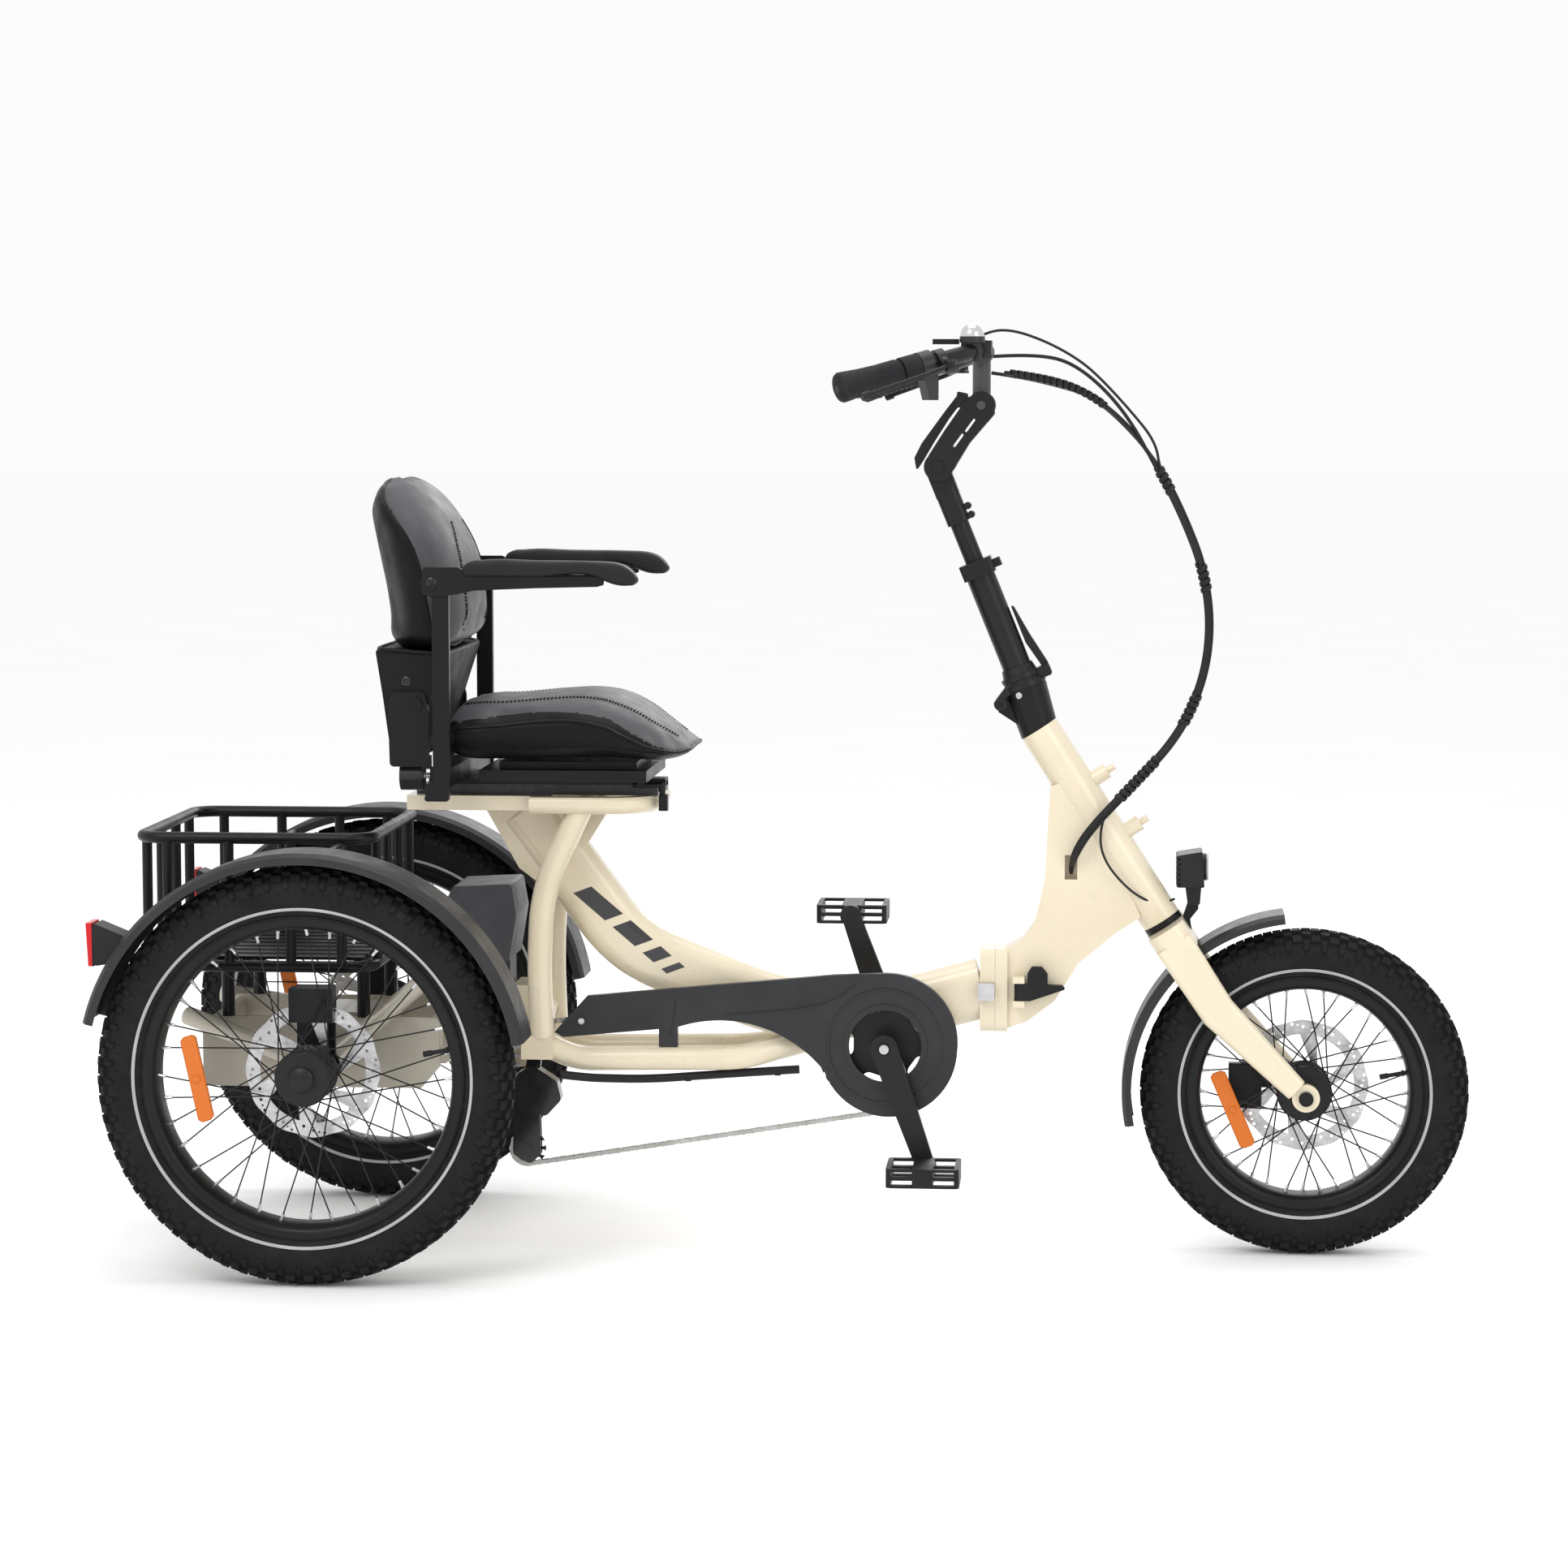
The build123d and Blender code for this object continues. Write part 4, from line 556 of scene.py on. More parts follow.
def bar_part(radius, low, high, sides=6):
    """A short straight round bar along z between two heights."""
    t = np.linspace(0, 2 * np.pi, sides, endpoint=False)
    ring = np.stack([radius * np.cos(t), radius * np.sin(t)], -1)
    return rings(np.stack([np.insert(ring, 2, z, axis=1) for z in (low, high)]))


for name, (x, y, radius, inboard) in wheels.items():
    body, seat = name + "_wheel", radius - wall_height
    edge = seat - rim_depth
    rim = [(seat + 0.5, 26.6), (seat + 3, 27.2), (seat + 4, 28.8), (seat + 3, 30.4),
        (seat - 1, 30.8), (seat - 7, 29.6),
           (edge + 4.5, 26.5), (edge + 1.2, 19), (edge, 9), (edge, 0)]
    inner_wall = [(seat - 7.5, 0), (seat - 7.5, 13), (seat - 2, 22)]
    rim = rim + [(r, -w) for r, w in rim[-2::-1]] + [(r, -w) for r,
        w in inner_wall[::-1]] + inner_wall[1:]
    start, end = spoke_lines(x, y, radius, radius)
    along = end - start
    length = np.linalg.norm(along, axis=1)
    square = axes_for(along, (0, 1, 0))
    spokes = copies(bar_part(1.0, 0, 1), start,
        square * np.stack([np.ones_like(length)] * 2 + [length], -1)[:, None, :])
    heads = copies(bar_part(2.6, -2.5, 1.2, 8), start, square)
    piece(name + "_rim_channel", [turned(rim, (x, y, radius), steps=144), spokes, heads],
        black_paint, body,
          [name + "_rim"])
    nipples = copies(joined([bar_part(2.1, -11, -3, 8), bar_part(2.9, -3.4, 0.5, 8)]), end, square)
    piece(name + "_nipples", nipples, steel, body)
    stem_at = np.array([x, y, radius]) + np.array([math.cos(0.19), 0, math.sin(0.19)]) * (edge - 34)
    stem_axes = axes_for([math.cos(0.19), 0, math.sin(0.19)])[None]
    valve = joined([bar_part(3.0, 0, 36, 12), bar_part(4.0, -3, 9, 12), bar_part(4.4, 28, 31, 12)])
    piece(name + "_valve", copies(valve, stem_at, stem_axes), black_plastic, body)
    print(name, "spoke length", length.round(1).min(), length.round(1).max())


# %% [markdown]
# A disc brake rotor is cut from steel sheet: a scalloped ring full of drilled holes, tied
# to a small centre by slanting arms. A flat curve with holes fills exactly that outline,
# and it is made a mesh with its thickness before it is stood up beside the hub.
# %% Cut sheet parts
def cut_sheet(loops, thickness, soft=0.15):
    """Fill closed (u, v) loops, holes included, and thicken them: points (u, v, w) and faces."""
    curve = bpy.data.curves.new("cut", "CURVE")
    curve.dimensions, curve.fill_mode = "2D", "BOTH"
    curve.extrude, curve.bevel_depth = thickness / 2 - soft, soft
    for loop in loops:
        loop = np.array(loop, float)
        spline = curve.splines.new("POLY")
        spline.points.add(len(loop) - 1)
        spline.points.foreach_set("co",
            np.concatenate([loop, np.zeros((len(loop), 1)), np.ones((len(loop), 1))], 1).ravel())
        spline.use_cyclic_u = True
    holder = bpy.data.objects.new("cut", curve)
    mesh = bpy.data.meshes.new_from_object(holder)
    points = np.empty(len(mesh.vertices) * 3)
    mesh.vertices.foreach_get("co", points)
    faces = [list(p.vertices) for p in mesh.polygons]
    bpy.data.objects.remove(holder)
    bpy.data.curves.remove(curve)
    bpy.data.meshes.remove(mesh)
    return points.reshape(-1, 3), faces


def upright(part, x, y, z, scale=1.0):
    """Stand a flat part up in the side view: u along x, v along z, w along y."""
    p = part[0] * scale
    return np.stack([x + p[:, 0], y + p[:, 2], z + p[:, 1]], -1), part[1]


def circle(radius, u=0.0, v=0.0, count=24, wave=0.0, waves=0):
    """Points round a circle whose radius may ripple: r + wave cos(waves t)."""
    t = np.linspace(0, 2 * np.pi, count, endpoint=False)
    r = radius + wave * np.cos(waves * t)
    return np.stack([u + r * np.cos(t), v + r * np.sin(t)], -1)


def arc_window(r0, r1, a0, a1, twist, count=12):
    """A window between two radii and two angles, its far edge turned on by a twist."""
    low, high = np.linspace(a0, a1, count), np.linspace(a1 + twist, a0 + twist, count)
    return np.concatenate([np.stack([r0 * np.cos(low), r0 * np.sin(low)], -1),
        np.stack([r1 * np.cos(high), r1 * np.sin(high)], -1)])


# %% Hubs and rotors
rotor_radius, rotor_band, arms, drilled = 91, 19, 6, 36
ring_inner = rotor_radius - rotor_band
loops = [circle(rotor_radius, count=240, wave=1.1, waves=12), circle(20, count=48)]
for i in range(arms):
    a0 = i * 2 * math.pi / arms
    loops.append(arc_window(33, ring_inner, a0 + 0.16, a0 + 2 * math.pi / arms - 0.16, 0.42))
for i in range(drilled):
    t = i * 2 * math.pi / drilled
    r = (82.5, 87, 78)[i % 3]
    loops.append(circle(2.4, r * math.cos(t), r * math.sin(t), 10))
    if i % 3 == 0:
        slot_at = t + 0.09
        loops.append(circle(1.7, 85 * math.cos(slot_at), 85 * math.sin(slot_at), 8))
rotor = cut_sheet(loops, 1.9)
for name, (x, y, radius, inboard) in wheels.items():
    body = name + "_wheel"
    half = [(0, -45), (7, -45), (11, -43), (15, -42), (17, -40), (17, -33), (19, -31), (30, -30.4),
        (36.5, -29.6),
            (38, -27.8), (38, -24.6), (36, -23), (27, -20.5), (24, -12), (23.5, 0), (24, 12), (27,
                20.5), (36, 23),
            (38, 24.6), (38, 27.8), (36, 29.8), (26, 31), (22, 34), (22, 44.6), (30, 44.8), (30,
                44.9)]
    tail = [(8.5, 45), (8.5, 99), (0, 99)] if name != "front" else [(13, 47.2), (11, 48),
        (6.2, 48.4), (0, 48.4)]
    profile = [(r, w * inboard) for r, w in half + [(30, 47.2), (16, 47.6)] + tail]
    piece(name + "_hub_shell", turned(profile, (x, y, radius), closed=False, steps=72),
        black_metal, body,
          [name + "_hub"])
    piece(name + "_rotor", upright(rotor, x, y + inboard * 46, radius), rotor_steel, body)
    bolts_at = np.arange(6) * np.pi / 3 + 0.3
    spots = np.stack([x + 26 * np.cos(bolts_at), np.full(6, y + inboard * 47),
        radius + 26 * np.sin(bolts_at)], -1)
    screw = joined([bar_part(3.4, 0, 1.6, 10), bar_part(2.4, 1.5, 2.2, 6)])
    piece(name + "_rotor_screws",
        copies(screw, spots, np.repeat(axes_for([0, inboard, 0], (0, 0, 1))[None], 6, 0)), steel,
          body)

# %% Spoke reflectors
reflectors = {"rear_right": [(-167, 333), (-147, 339), (-123, 224), (-141, 219)],
              "rear_left": [(-167, 333), (-147, 339), (-123, 224), (-141, 219)],
              "front": [(1208, 250), (1228, 258), (1272, 156), (1254, 144)]}
for name, corners in reflectors.items():
    x, y, radius, inboard = wheels[name]
    c = np.array(corners, float)
    mid = c.mean(0)
    long_way = (c[0] + c[1] - c[2] - c[3]) / 2
    wide_way = (c[1] - c[0]) / np.linalg.norm(c[1] - c[0]) * 11
    half_long = long_way / 2
    outline = [mid + half_long + wide_way * 0.5, mid + half_long * 0.93 + wide_way,
        mid - half_long * 0.93 + wide_way,
               mid - half_long + wide_way * 0.5, mid - half_long - wide_way * 0.5, mid - half_long * 0.93 - wide_way,
               mid + half_long * 0.93 - wide_way, mid + half_long - wide_way * 0.5]
    front_y = y - 17 if name != "rear_left" else y + 17
    piece(name + "_reflector", prism(outline, front_y - 4, front_y + 4), amber, name + "_wheel",
        soften=1.6)
    clip = turned([(0, -6), (4.5, -6), (5, -5.4), (5, 6), (0, 6)], (mid[0], front_y, mid[1]),
        closed=False, steps=20)
    piece(name + "_reflector_clip", clip, amber, name + "_wheel")

# %% [markdown]
# The roller chain runs round the chainring, one sprocket and two guide wheels. Its line is
# made of straight spans that touch each circle and of the arcs between them; the links are
# pairs of waisted plates set along that line, one pin pitch apart.
# %% Chain
def tangent_spans(circles):
    """Straight spans between circles (x, z, r, sense): tangent points from the unit normal."""
    spans = []
    for (x0, z0, r0, s0), (x1, z1, r1, s1) in zip(circles, circles[1:] + circles[:1]):
        dx, dz = x1 - x0, z1 - z0
        far = math.hypot(dx, dz)
        u = (dx / far, dz / far)
        k = (s1 * r1 - s0 * r0) / far
        rest = math.sqrt(1 - k * k)
        n = (-u[0] * k + u[1] * rest, -u[1] * k - u[0] * rest)
        spans.append(((x0 + s0 * r0 * n[0], z0 + s0 * r0 * n[1]),
            (x1 + s1 * r1 * n[0], z1 + s1 * r1 * n[1])))
    return spans


pitch, chain_y = 12.7, -45
teeth_radius = {t: pitch / (2 * math.sin(math.pi / t)) for t in (46, 18, 11)}
circles = [(760.7, 292, teeth_radius[46], 1), (205, 268, teeth_radius[18], 1),
    (258, 222, teeth_radius[11], -1),
           (259, 139, teeth_radius[11], 1)]
spans = tangent_spans(circles)
line = []
for i, (a, b) in enumerate(spans):
    line.append(np.linspace(a, b, 120, endpoint=False))
    cx, cz, r, sense = circles[(i + 1) % 4]
    c = spans[(i + 1) % 4][0]
    start = math.atan2(b[1] - cz, b[0] - cx)
    sweep = (math.atan2(c[1] - cz, c[0] - cx) - start) % (2 * math.pi)
    if sense < 0:
        sweep -= 2 * math.pi
    t = start + np.linspace(0, sweep, 80, endpoint=False)
    line.append(np.stack([cx + r * np.cos(t), cz + r * np.sin(t)], -1))
line = np.concatenate(line)
closed_line = np.vstack([line, line[:1]])
run = np.concatenate([[0], np.cumsum(np.linalg.norm(np.diff(closed_line, axis=0), axis=1))])
link_count = 2 * round(run[-1] / pitch / 2)
marks = np.arange(link_count + 1) * run[-1] / link_count
pins = np.stack([np.interp(marks, run, closed_line[:, k]) for k in (0, 1)], -1)
step = pins[1:] - pins[:-1]
size = np.linalg.norm(step, axis=1)
t = np.linspace(0, 2 * np.pi, 20, endpoint=False)
waist = np.stack([0.5 + 0.5 * np.cos(t) + 0.28 * np.sign(np.cos(t)) * np.abs(np.cos(t)) ** 3,
                  4.1 * np.sin(t) * (0.72 + 0.28 * np.cos(t) ** 2)], -1)
waist[:, 0] = (waist[:, 0] - 0.5) * 1.0 * pitch + pitch / 2
link_axes = np.zeros((link_count, 3, 3))
link_axes[:, 0, 0], link_axes[:, 2, 0] = step[:, 0] / size, step[:, 1] / size
link_axes[:, 1, 1] = 1
link_axes[:, 0, 2], link_axes[:, 2, 2] = -step[:, 1] / size, step[:, 0] / size
origins = np.stack([pins[:-1, 0], np.full(link_count, chain_y), pins[:-1, 1]], -1)
parts = []
for first, gap in ((0, 2.5), (1, 3.7)):
    for s in (-1, 1):
        plate = prism(waist, s * gap - 0.5, s * gap + 0.5)
        parts.append(copies(plate, origins[first::2], link_axes[first::2]))
roller = bar_part(3.9, -2.4, 2.4, 10)
pin = bar_part(1.7, -4.6, 4.6, 8)
pin_axes = np.repeat(axes_for([0, 1, 0], (0, 0, 1))[None], link_count, 0)
parts += [copies(roller, origins, pin_axes), copies(pin, origins, pin_axes)]
piece("chain_links", parts, link_steel, "rear_half", ["chain"])
print("links", link_count, "line length", round(run[-1], 1))

# %% [markdown]
# The seat is foam under stitched vinyl: a grey top panel that rises to a soft crest and
# droops over a rounded nose, and darker sides that tuck in underneath. The form is a stack
# of cross sections, and a short cloth simulation then presses it outward, with each point's
# travel cut to a cap. On the seat every point stops at the cap, so its shape is the drawn
# form grown by an even 5 mm and the cloth sets only the direction. On the backrest 57 % of
# the points stop there. Piping and stitches are laid on afterwards.
# %% Vinyl
def vinyl(name, light, deep, gloss, sheen=0.05, mirror=0.28):
    """Soft vinyl: leather-like cells, faint creases and a slow change of tone."""
    f = Finish(name, gloss, 0.0, sheen=sheen, mirror=mirror)
    colour = f.mix(f.ramp(f.noise(9, 5), 0.3, 0.7, 0, 1), light, deep)
    colour = f.mix(f.ramp(f.cells(620), 0.0, 0.5, 0.25, 0), colour, tuple(0.55 * c for c in deep))
    f.grain(f.cells(620), 0.35, 0.0005)
    f.grain(f.noise(26, 4), 0.12, 0.003)
    return f.close(colour, f.ramp(f.noise(40, 4), 0.3, 0.7, gloss - 0.06, gloss + 0.08))


panel_vinyl = vinyl("grey_panel_vinyl", (0.058, 0.058, 0.064), (0.044, 0.044, 0.050), 0.44)
side_vinyl = vinyl("black_side_vinyl", (0.006, 0.006, 0.0065), (0.004, 0.004, 0.0045), 0.40, 0.0,
    0.13)


# %% Press a form outward with cloth, up to a cap
def stuffed(name, part, cap, pressure=4.0, voxel=0.006):
    """Remesh a closed form, press it outward as cloth, cap each point's travel and smooth it."""
    points, faces = part
    mesh = bpy.data.meshes.new(name)
    mesh.from_pydata(place(points).tolist(), [], faces)
    bm = bmesh.new()
    bm.from_mesh(mesh)
    bmesh.ops.remove_doubles(bm, verts=bm.verts, dist=1e-6)
    bmesh.ops.recalc_face_normals(bm, faces=bm.faces)
    bm.to_mesh(mesh)
    bm.free()
    obj = bpy.data.objects.new(name, mesh)
    bpy.context.scene.collection.objects.link(obj)
    remesh = obj.modifiers.new("even", "REMESH")
    remesh.mode, remesh.voxel_size = "VOXEL", voxel
    settle = obj.modifiers.new("settle", "SMOOTH")
    settle.factor, settle.iterations = 0.5, 6

    def baked():
        """The mesh as its modifiers leave it."""
        graph = bpy.context.evaluated_depsgraph_get()
        return bpy.data.meshes.new_from_object(obj.evaluated_get(graph))

    even = baked()
    obj.modifiers.clear()
    obj.data = even
    rest = np.empty(len(even.vertices) * 3)
    even.vertices.foreach_get("co", rest)
    cloth = obj.modifiers.new("swell", "CLOTH")
    cloth.settings.use_pressure = True
    cloth.settings.uniform_pressure_force = pressure
    cloth.settings.effector_weights.gravity = 0
    cloth.settings.quality = 4
    scene = bpy.context.scene
    for number in range(1, 21):
        scene.frame_set(number)
    swollen = baked()
    obj.modifiers.clear()
    scene.frame_set(1)
    moved = np.empty(len(swollen.vertices) * 3)
    swollen.vertices.foreach_get("co", moved)
    travel = (moved - rest).reshape(-1, 3)
    length = np.linalg.norm(travel, axis=1, keepdims=True)
    held = travel * np.minimum(1, cap / 1000 / np.maximum(length, 1e-9))
    even.vertices.foreach_set("co", (rest.reshape(-1, 3) + held).ravel())
    even.update()
    print(name, "swelled by up to", round(float(length.max()) * 1000, 1), "mm, held at", cap)
    calm = obj.modifiers.new("calm", "SMOOTH")
    calm.factor, calm.iterations = 0.4, 3
    obj.data = baked()
    obj.modifiers.clear()
    obj.data.polygons.foreach_set("use_smooth", np.ones(len(obj.data.polygons), bool))
    soft = obj.modifiers.new("soft", "SUBSURF")
    soft.levels = soft.render_levels = 1
    return obj


def skin_tree(obj):
    """A search tree over a piece's own mesh, for laying seams on it."""
    graph = bpy.context.evaluated_depsgraph_get()
    return BVHTree.FromObject(obj, graph)


def laid_on(tree, path, lift):
    """The nearest surface points to a path, raised by a lift in mm, with their normals."""
    points, normals = [], []
    for p in place(path):
        spot, normal, _, _ = tree.find_nearest(Vector(p))
        points.append(np.array(spot) * 1000 + (middle, 0, 0) + np.array(normal) * lift)
        normals.append(np.array(normal))
    return np.array(points), np.array(normals)


def evened(path, gap):
    """The same line with points an even gap apart."""
    path = np.array(path, float)
    run = np.concatenate([[0], np.cumsum(np.linalg.norm(np.diff(path, axis=0), axis=1))])
    marks = np.linspace(0, run[-1], max(3, int(run[-1] / gap)))
    return np.stack([np.interp(marks, run, path[:, k]) for k in range(3)], -1)


def seam(tree, path, lift=0.6):
    """A row of stitches: short threads along a line laid on a surface."""
    points, normals = laid_on(tree, evened(path, 5.2), lift)
    along = np.gradient(points, axis=0)
    square = axes_for(along, normals.mean(0))
    thread = tube([[0, 0, -1.7], [0, 0, -1.1], [0, 0, 1.1], [0, 0, 1.7]], [0.25, 0.62, 0.62, 0.25],
        6, up=(1, 0, 0))
    return copies(thread, points, square)


def lay_piping(body, tree, line, up):
    """A round cord sewn along a closed line on a cushion, evened by two neighbour means."""
    cord, _ = laid_on(tree, line, 0.9)
    for _ in range(2):
        cord = (np.roll(cord, 1, 0) + 2 * cord + np.roll(cord, -1, 0)) / 4
    piece(body + "_piping", tube(cord, 2.3, 8, up=up, loop=True), side_vinyl, body)


# %% Seat cushion
seat_keys = np.array([
    # x, half width, edge height, crest height, underside
    (156, 150, 722, 740, 704), (166, 172, 741, 758, 696), (190, 182, 748, 765, 694), (240, 184,
        755, 767, 694),
    (300, 184, 761, 773, 695), (350, 182, 760, 776, 696), (390, 176, 750, 770, 696), (425, 164,
        728, 754, 694),
    (455, 144, 711, 731, 692), (480, 118, 704, 713, 692), (497, 84, 704, 707, 696)], float)
stations = np.linspace(156, 497, 64)
width, edge_z, crest_z, low_z = smooth_curve(seat_keys, stations).T
t = np.linspace(0, 2 * np.pi, 96, endpoint=False)
across = np.sign(np.cos(t)) * np.abs(np.cos(t)) ** 0.62
upward = np.sin(t)
top = edge_z[:, None] + (crest_z - edge_z)[:, None] * (1 - np.abs(across) ** 2.4) + 0 * upward
under = low_z[:, None] + 0 * upward
share = np.clip(0.5 + 0.5 * np.sign(upward) * np.abs(upward) ** 0.45, 0, 1)
z = under + (top - under) * share
tuck = 1 - 0.10 * (1 - share) ** 1.6
y = width[:, None] * across * tuck
x = np.broadcast_to(stations[:, None], y.shape)
seat_form = rings(np.stack([x, y, z], -1))
seat_cushion = stuffed("seat_cushion_body", seat_form, 5.0)
seat_cushion.data.materials.append(panel_vinyl)
seat_cushion.data.materials.append(side_vinyl)


def second_finish(obj, past_edge):
    """Give the second finish to the faces whose centre lies past the piping."""
    mesh = obj.data
    centres = np.empty(len(mesh.polygons) * 3)
    mesh.polygons.foreach_get("center", centres)
    c = centres.reshape(-1, 3) * 1000 + (middle, 0, 0)
    mesh.polygons.foreach_set("material_index", (past_edge(c) > 0).astype(np.int32))
    mesh.update()


def below_piping(c):
    """How far a point lies below the piping: edge height at its x, minus its z."""
    keys = smooth_curve(seat_keys, np.clip(c[:, 0], 156, 497))
    nose = c[:, 0] > 490
    return np.where(nose, 704 - c[:, 2], keys[:, 1] - 2 - c[:, 2])


second_finish(seat_cushion, below_piping)
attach(seat_cushion, "seat")
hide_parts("seat_cushion")
seat_tree = skin_tree(seat_cushion)
w, edge_h = smooth_curve(seat_keys, stations)[:, :2].T
right = np.stack([stations, -w - 4, edge_h - 3], -1)
round_nose = np.stack([497 + 8 * np.sin(np.linspace(0, np.pi, 24)),
    -84 * np.cos(np.linspace(0, np.pi, 24)),
                       np.full(24, 703.0)], -1)
back_edge = np.stack([np.full(20, 152.0), np.linspace(150, -150, 20), np.full(20, 736.0)], -1)
edge_line = np.concatenate([right, round_nose, right[::-1] * (1, -1, 1), back_edge])
edge_line = evened(np.concatenate([edge_line, edge_line[:1]]), 7)[:-1]
lay_piping("seat", seat_tree, edge_line, (0, 0, 1))
panel_lines = []
for s in (-1, 1):
    for off in (0, 7):
        x = np.linspace(176, 486, 60)
        y = s * (np.interp(x, [176, 300, 400, 450, 486], [96, 104, 100, 84, 56]) + off)
        panel_lines.append(seam(seat_tree,
            np.stack([x, y, np.full(60, 800.0) - np.maximum(0, x - 380) * 0.6], -1)))
hem = np.stack([stations, -w * 0.94, low_z + 6], -1)
panel_lines.append(seam(seat_tree, hem))
panel_lines.append(seam(seat_tree, hem * (1, -1, 1)))
piece("seat_stitches", panel_lines, side_vinyl, "seat")

# %% Backrest cushion
back_keys = np.array([
    # z, half width, rear x, front x, piping x
    (844, 146, 82, 168, 150), (852, 160, 78, 180, 152), (880, 168, 80, 184, 150), (920, 170, 76,
        182, 142),
    (960, 170, 68, 175, 134), (1000, 162, 60, 160, 116), (1030, 144, 54, 143, 92), (1052, 116, 52,
        124, 76),
    (1066, 84, 54, 105, 72), (1074, 46, 62, 90, 70)], float)
levels = np.linspace(844, 1074, 56)
b_width, b_rear, b_front, b_pipe = smooth_curve(back_keys, levels).T
t = np.linspace(0, 2 * np.pi, 96, endpoint=False)
across = np.sign(np.cos(t)) * np.abs(np.cos(t)) ** 0.7
forward = np.sign(np.sin(t)) * np.abs(np.sin(t)) ** 0.8
mid_x = np.minimum(b_pipe, b_front - 6)
x = np.where(forward > 0,
    mid_x[:, None] + (b_front - mid_x)[:, None] * forward * (1 - 0.12 * np.abs(across) ** 3),
             mid_x[:, None] + (mid_x - b_rear)[:, None] * forward)
y = b_width[:, None] * across
z = np.broadcast_to(levels[:, None], y.shape)
back_cushion = stuffed("backrest_cushion_body", rings(np.stack([x, y, z], -1)), 5.0)
back_cushion.data.materials.append(panel_vinyl)
back_cushion.data.materials.append(side_vinyl)


def behind_piping(c):
    """How far a point lies behind the piping: piping x at its height, minus its x."""
    return smooth_curve(back_keys, np.clip(c[:, 2], 844, 1074))[:, 3] - 3 - c[:, 0]


second_finish(back_cushion, behind_piping)
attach(back_cushion, "backrest")
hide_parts("backrest_cushion")
back_tree = skin_tree(back_cushion)
up_line = np.stack([b_pipe - 3, -b_width - 3, levels], -1)
over = np.linspace(0, np.pi, 16)[1:-1]
top_line = np.stack([np.full(14, 70.0), -46 * np.cos(over), 1077 + 2 * np.sin(over)], -1)
foot_line = np.stack([np.full(14, 156.0), 146 * np.cos(over), 843 - 3 * np.sin(over)], -1)
loop_line = np.concatenate([up_line, top_line, up_line[::-1] * (1, -1, 1), foot_line])
loop_line = evened(np.concatenate([loop_line, loop_line[:1]]), 7)[:-1]
lay_piping("backrest", back_tree, loop_line, (1, 0, 0))
panel_lines = []
for s in (-1, 1):
    for off in (0, 7):
        zs = np.linspace(852, 1058, 50)
        y = s * (np.interp(zs, [852, 950, 1010, 1058], [92, 96, 82, 50]) + off)
        panel_lines.append(seam(back_tree, np.stack([np.full(50, 240.0), y, zs], -1)))
piece("backrest_stitches", panel_lines, side_vinyl, "backrest")
print("seat", len(seat_cushion.data.vertices), "backrest", len(back_cushion.data.vertices))

# %% [markdown]
# The backrest stands in a moulded shell with a rolled welt along its top. Each armrest is
# a folded steel plate with a foam pad glued on, its front end dropped and rounded for the
# hand; the pad is a chain of soft-cornered sections.
# %% Arm pads and plates
def soft_section(count, power):
    """A soft-cornered square: |u|^p + |v|^p = 1, as points round it."""
    t = np.linspace(0, 2 * np.pi, count, endpoint=False)
    c, s = np.cos(t), np.sin(t)
    return np.stack([np.sign(c) * np.abs(c) ** (2 / power), np.sign(s) * np.abs(s) ** (2 / power)],
        -1)


pad_keys = np.array([
    # x, half width, underside, top
    (196, 6, 946, 951), (199, 13, 944.5, 958), (207, 16.5, 944, 964.5), (225, 17.8, 944,
        967), (300, 18, 944, 966.5),
    (380, 18, 944, 965.5), (394, 18, 937.5, 965), (408, 17.8, 933.5, 963), (421, 17, 933,
        957.5), (430, 14, 934.5, 949),
    (434, 7, 938, 943)], float)
for name, s in (("right", -1), ("left", 1)):
    x = np.concatenate([np.linspace(196, 208, 12), np.linspace(214, 376, 18),
        np.linspace(382, 434, 26)])
    half_width, low, high = smooth_curve(pad_keys, x).T
    ring = soft_section(32, 4.4)
    mid_y = s * 194
    grid = np.stack([np.broadcast_to(x[:, None], (len(x), 32)),
        mid_y + half_width[:, None] * ring[:, 0],
                     ((low + high) / 2)[:, None] + ((high - low) / 2)[:, None] * ring[:, 1]], -1)
    pad = piece(f"arm_pad_{name}", rings(grid),
        plastic(f"pad_foam_skin_{name}", (0.011, 0.011, 0.012), (0.007, 0.007, 0.008), 0.5, 0.4,
    600),
                "armrest_" + name)
    y0, y1 = sorted((s * 202.4, s * 206.8))
    arm = [(145, 921), (150, 918.5), (166, 917.5), (190, 921), (214, 926), (300, 929.5),
        (380, 931.5), (389, 934), (390, 945.6),
           (202, 945.6), (196, 955), (191, 957.6), (146, 957.6), (143, 954), (142.5, 925)]
    flange = [(204, 940), (386, 940), (386, 947.5), (204, 947.5)]
    parts = [prism(arm, y0, y1), prism(flange, *sorted((s * 181, s * 205)))]
    piece(f"arm_plate_{name}", parts, black_paint, "armrest_" + name,
        ["armrest_" + name], soften=0.9)

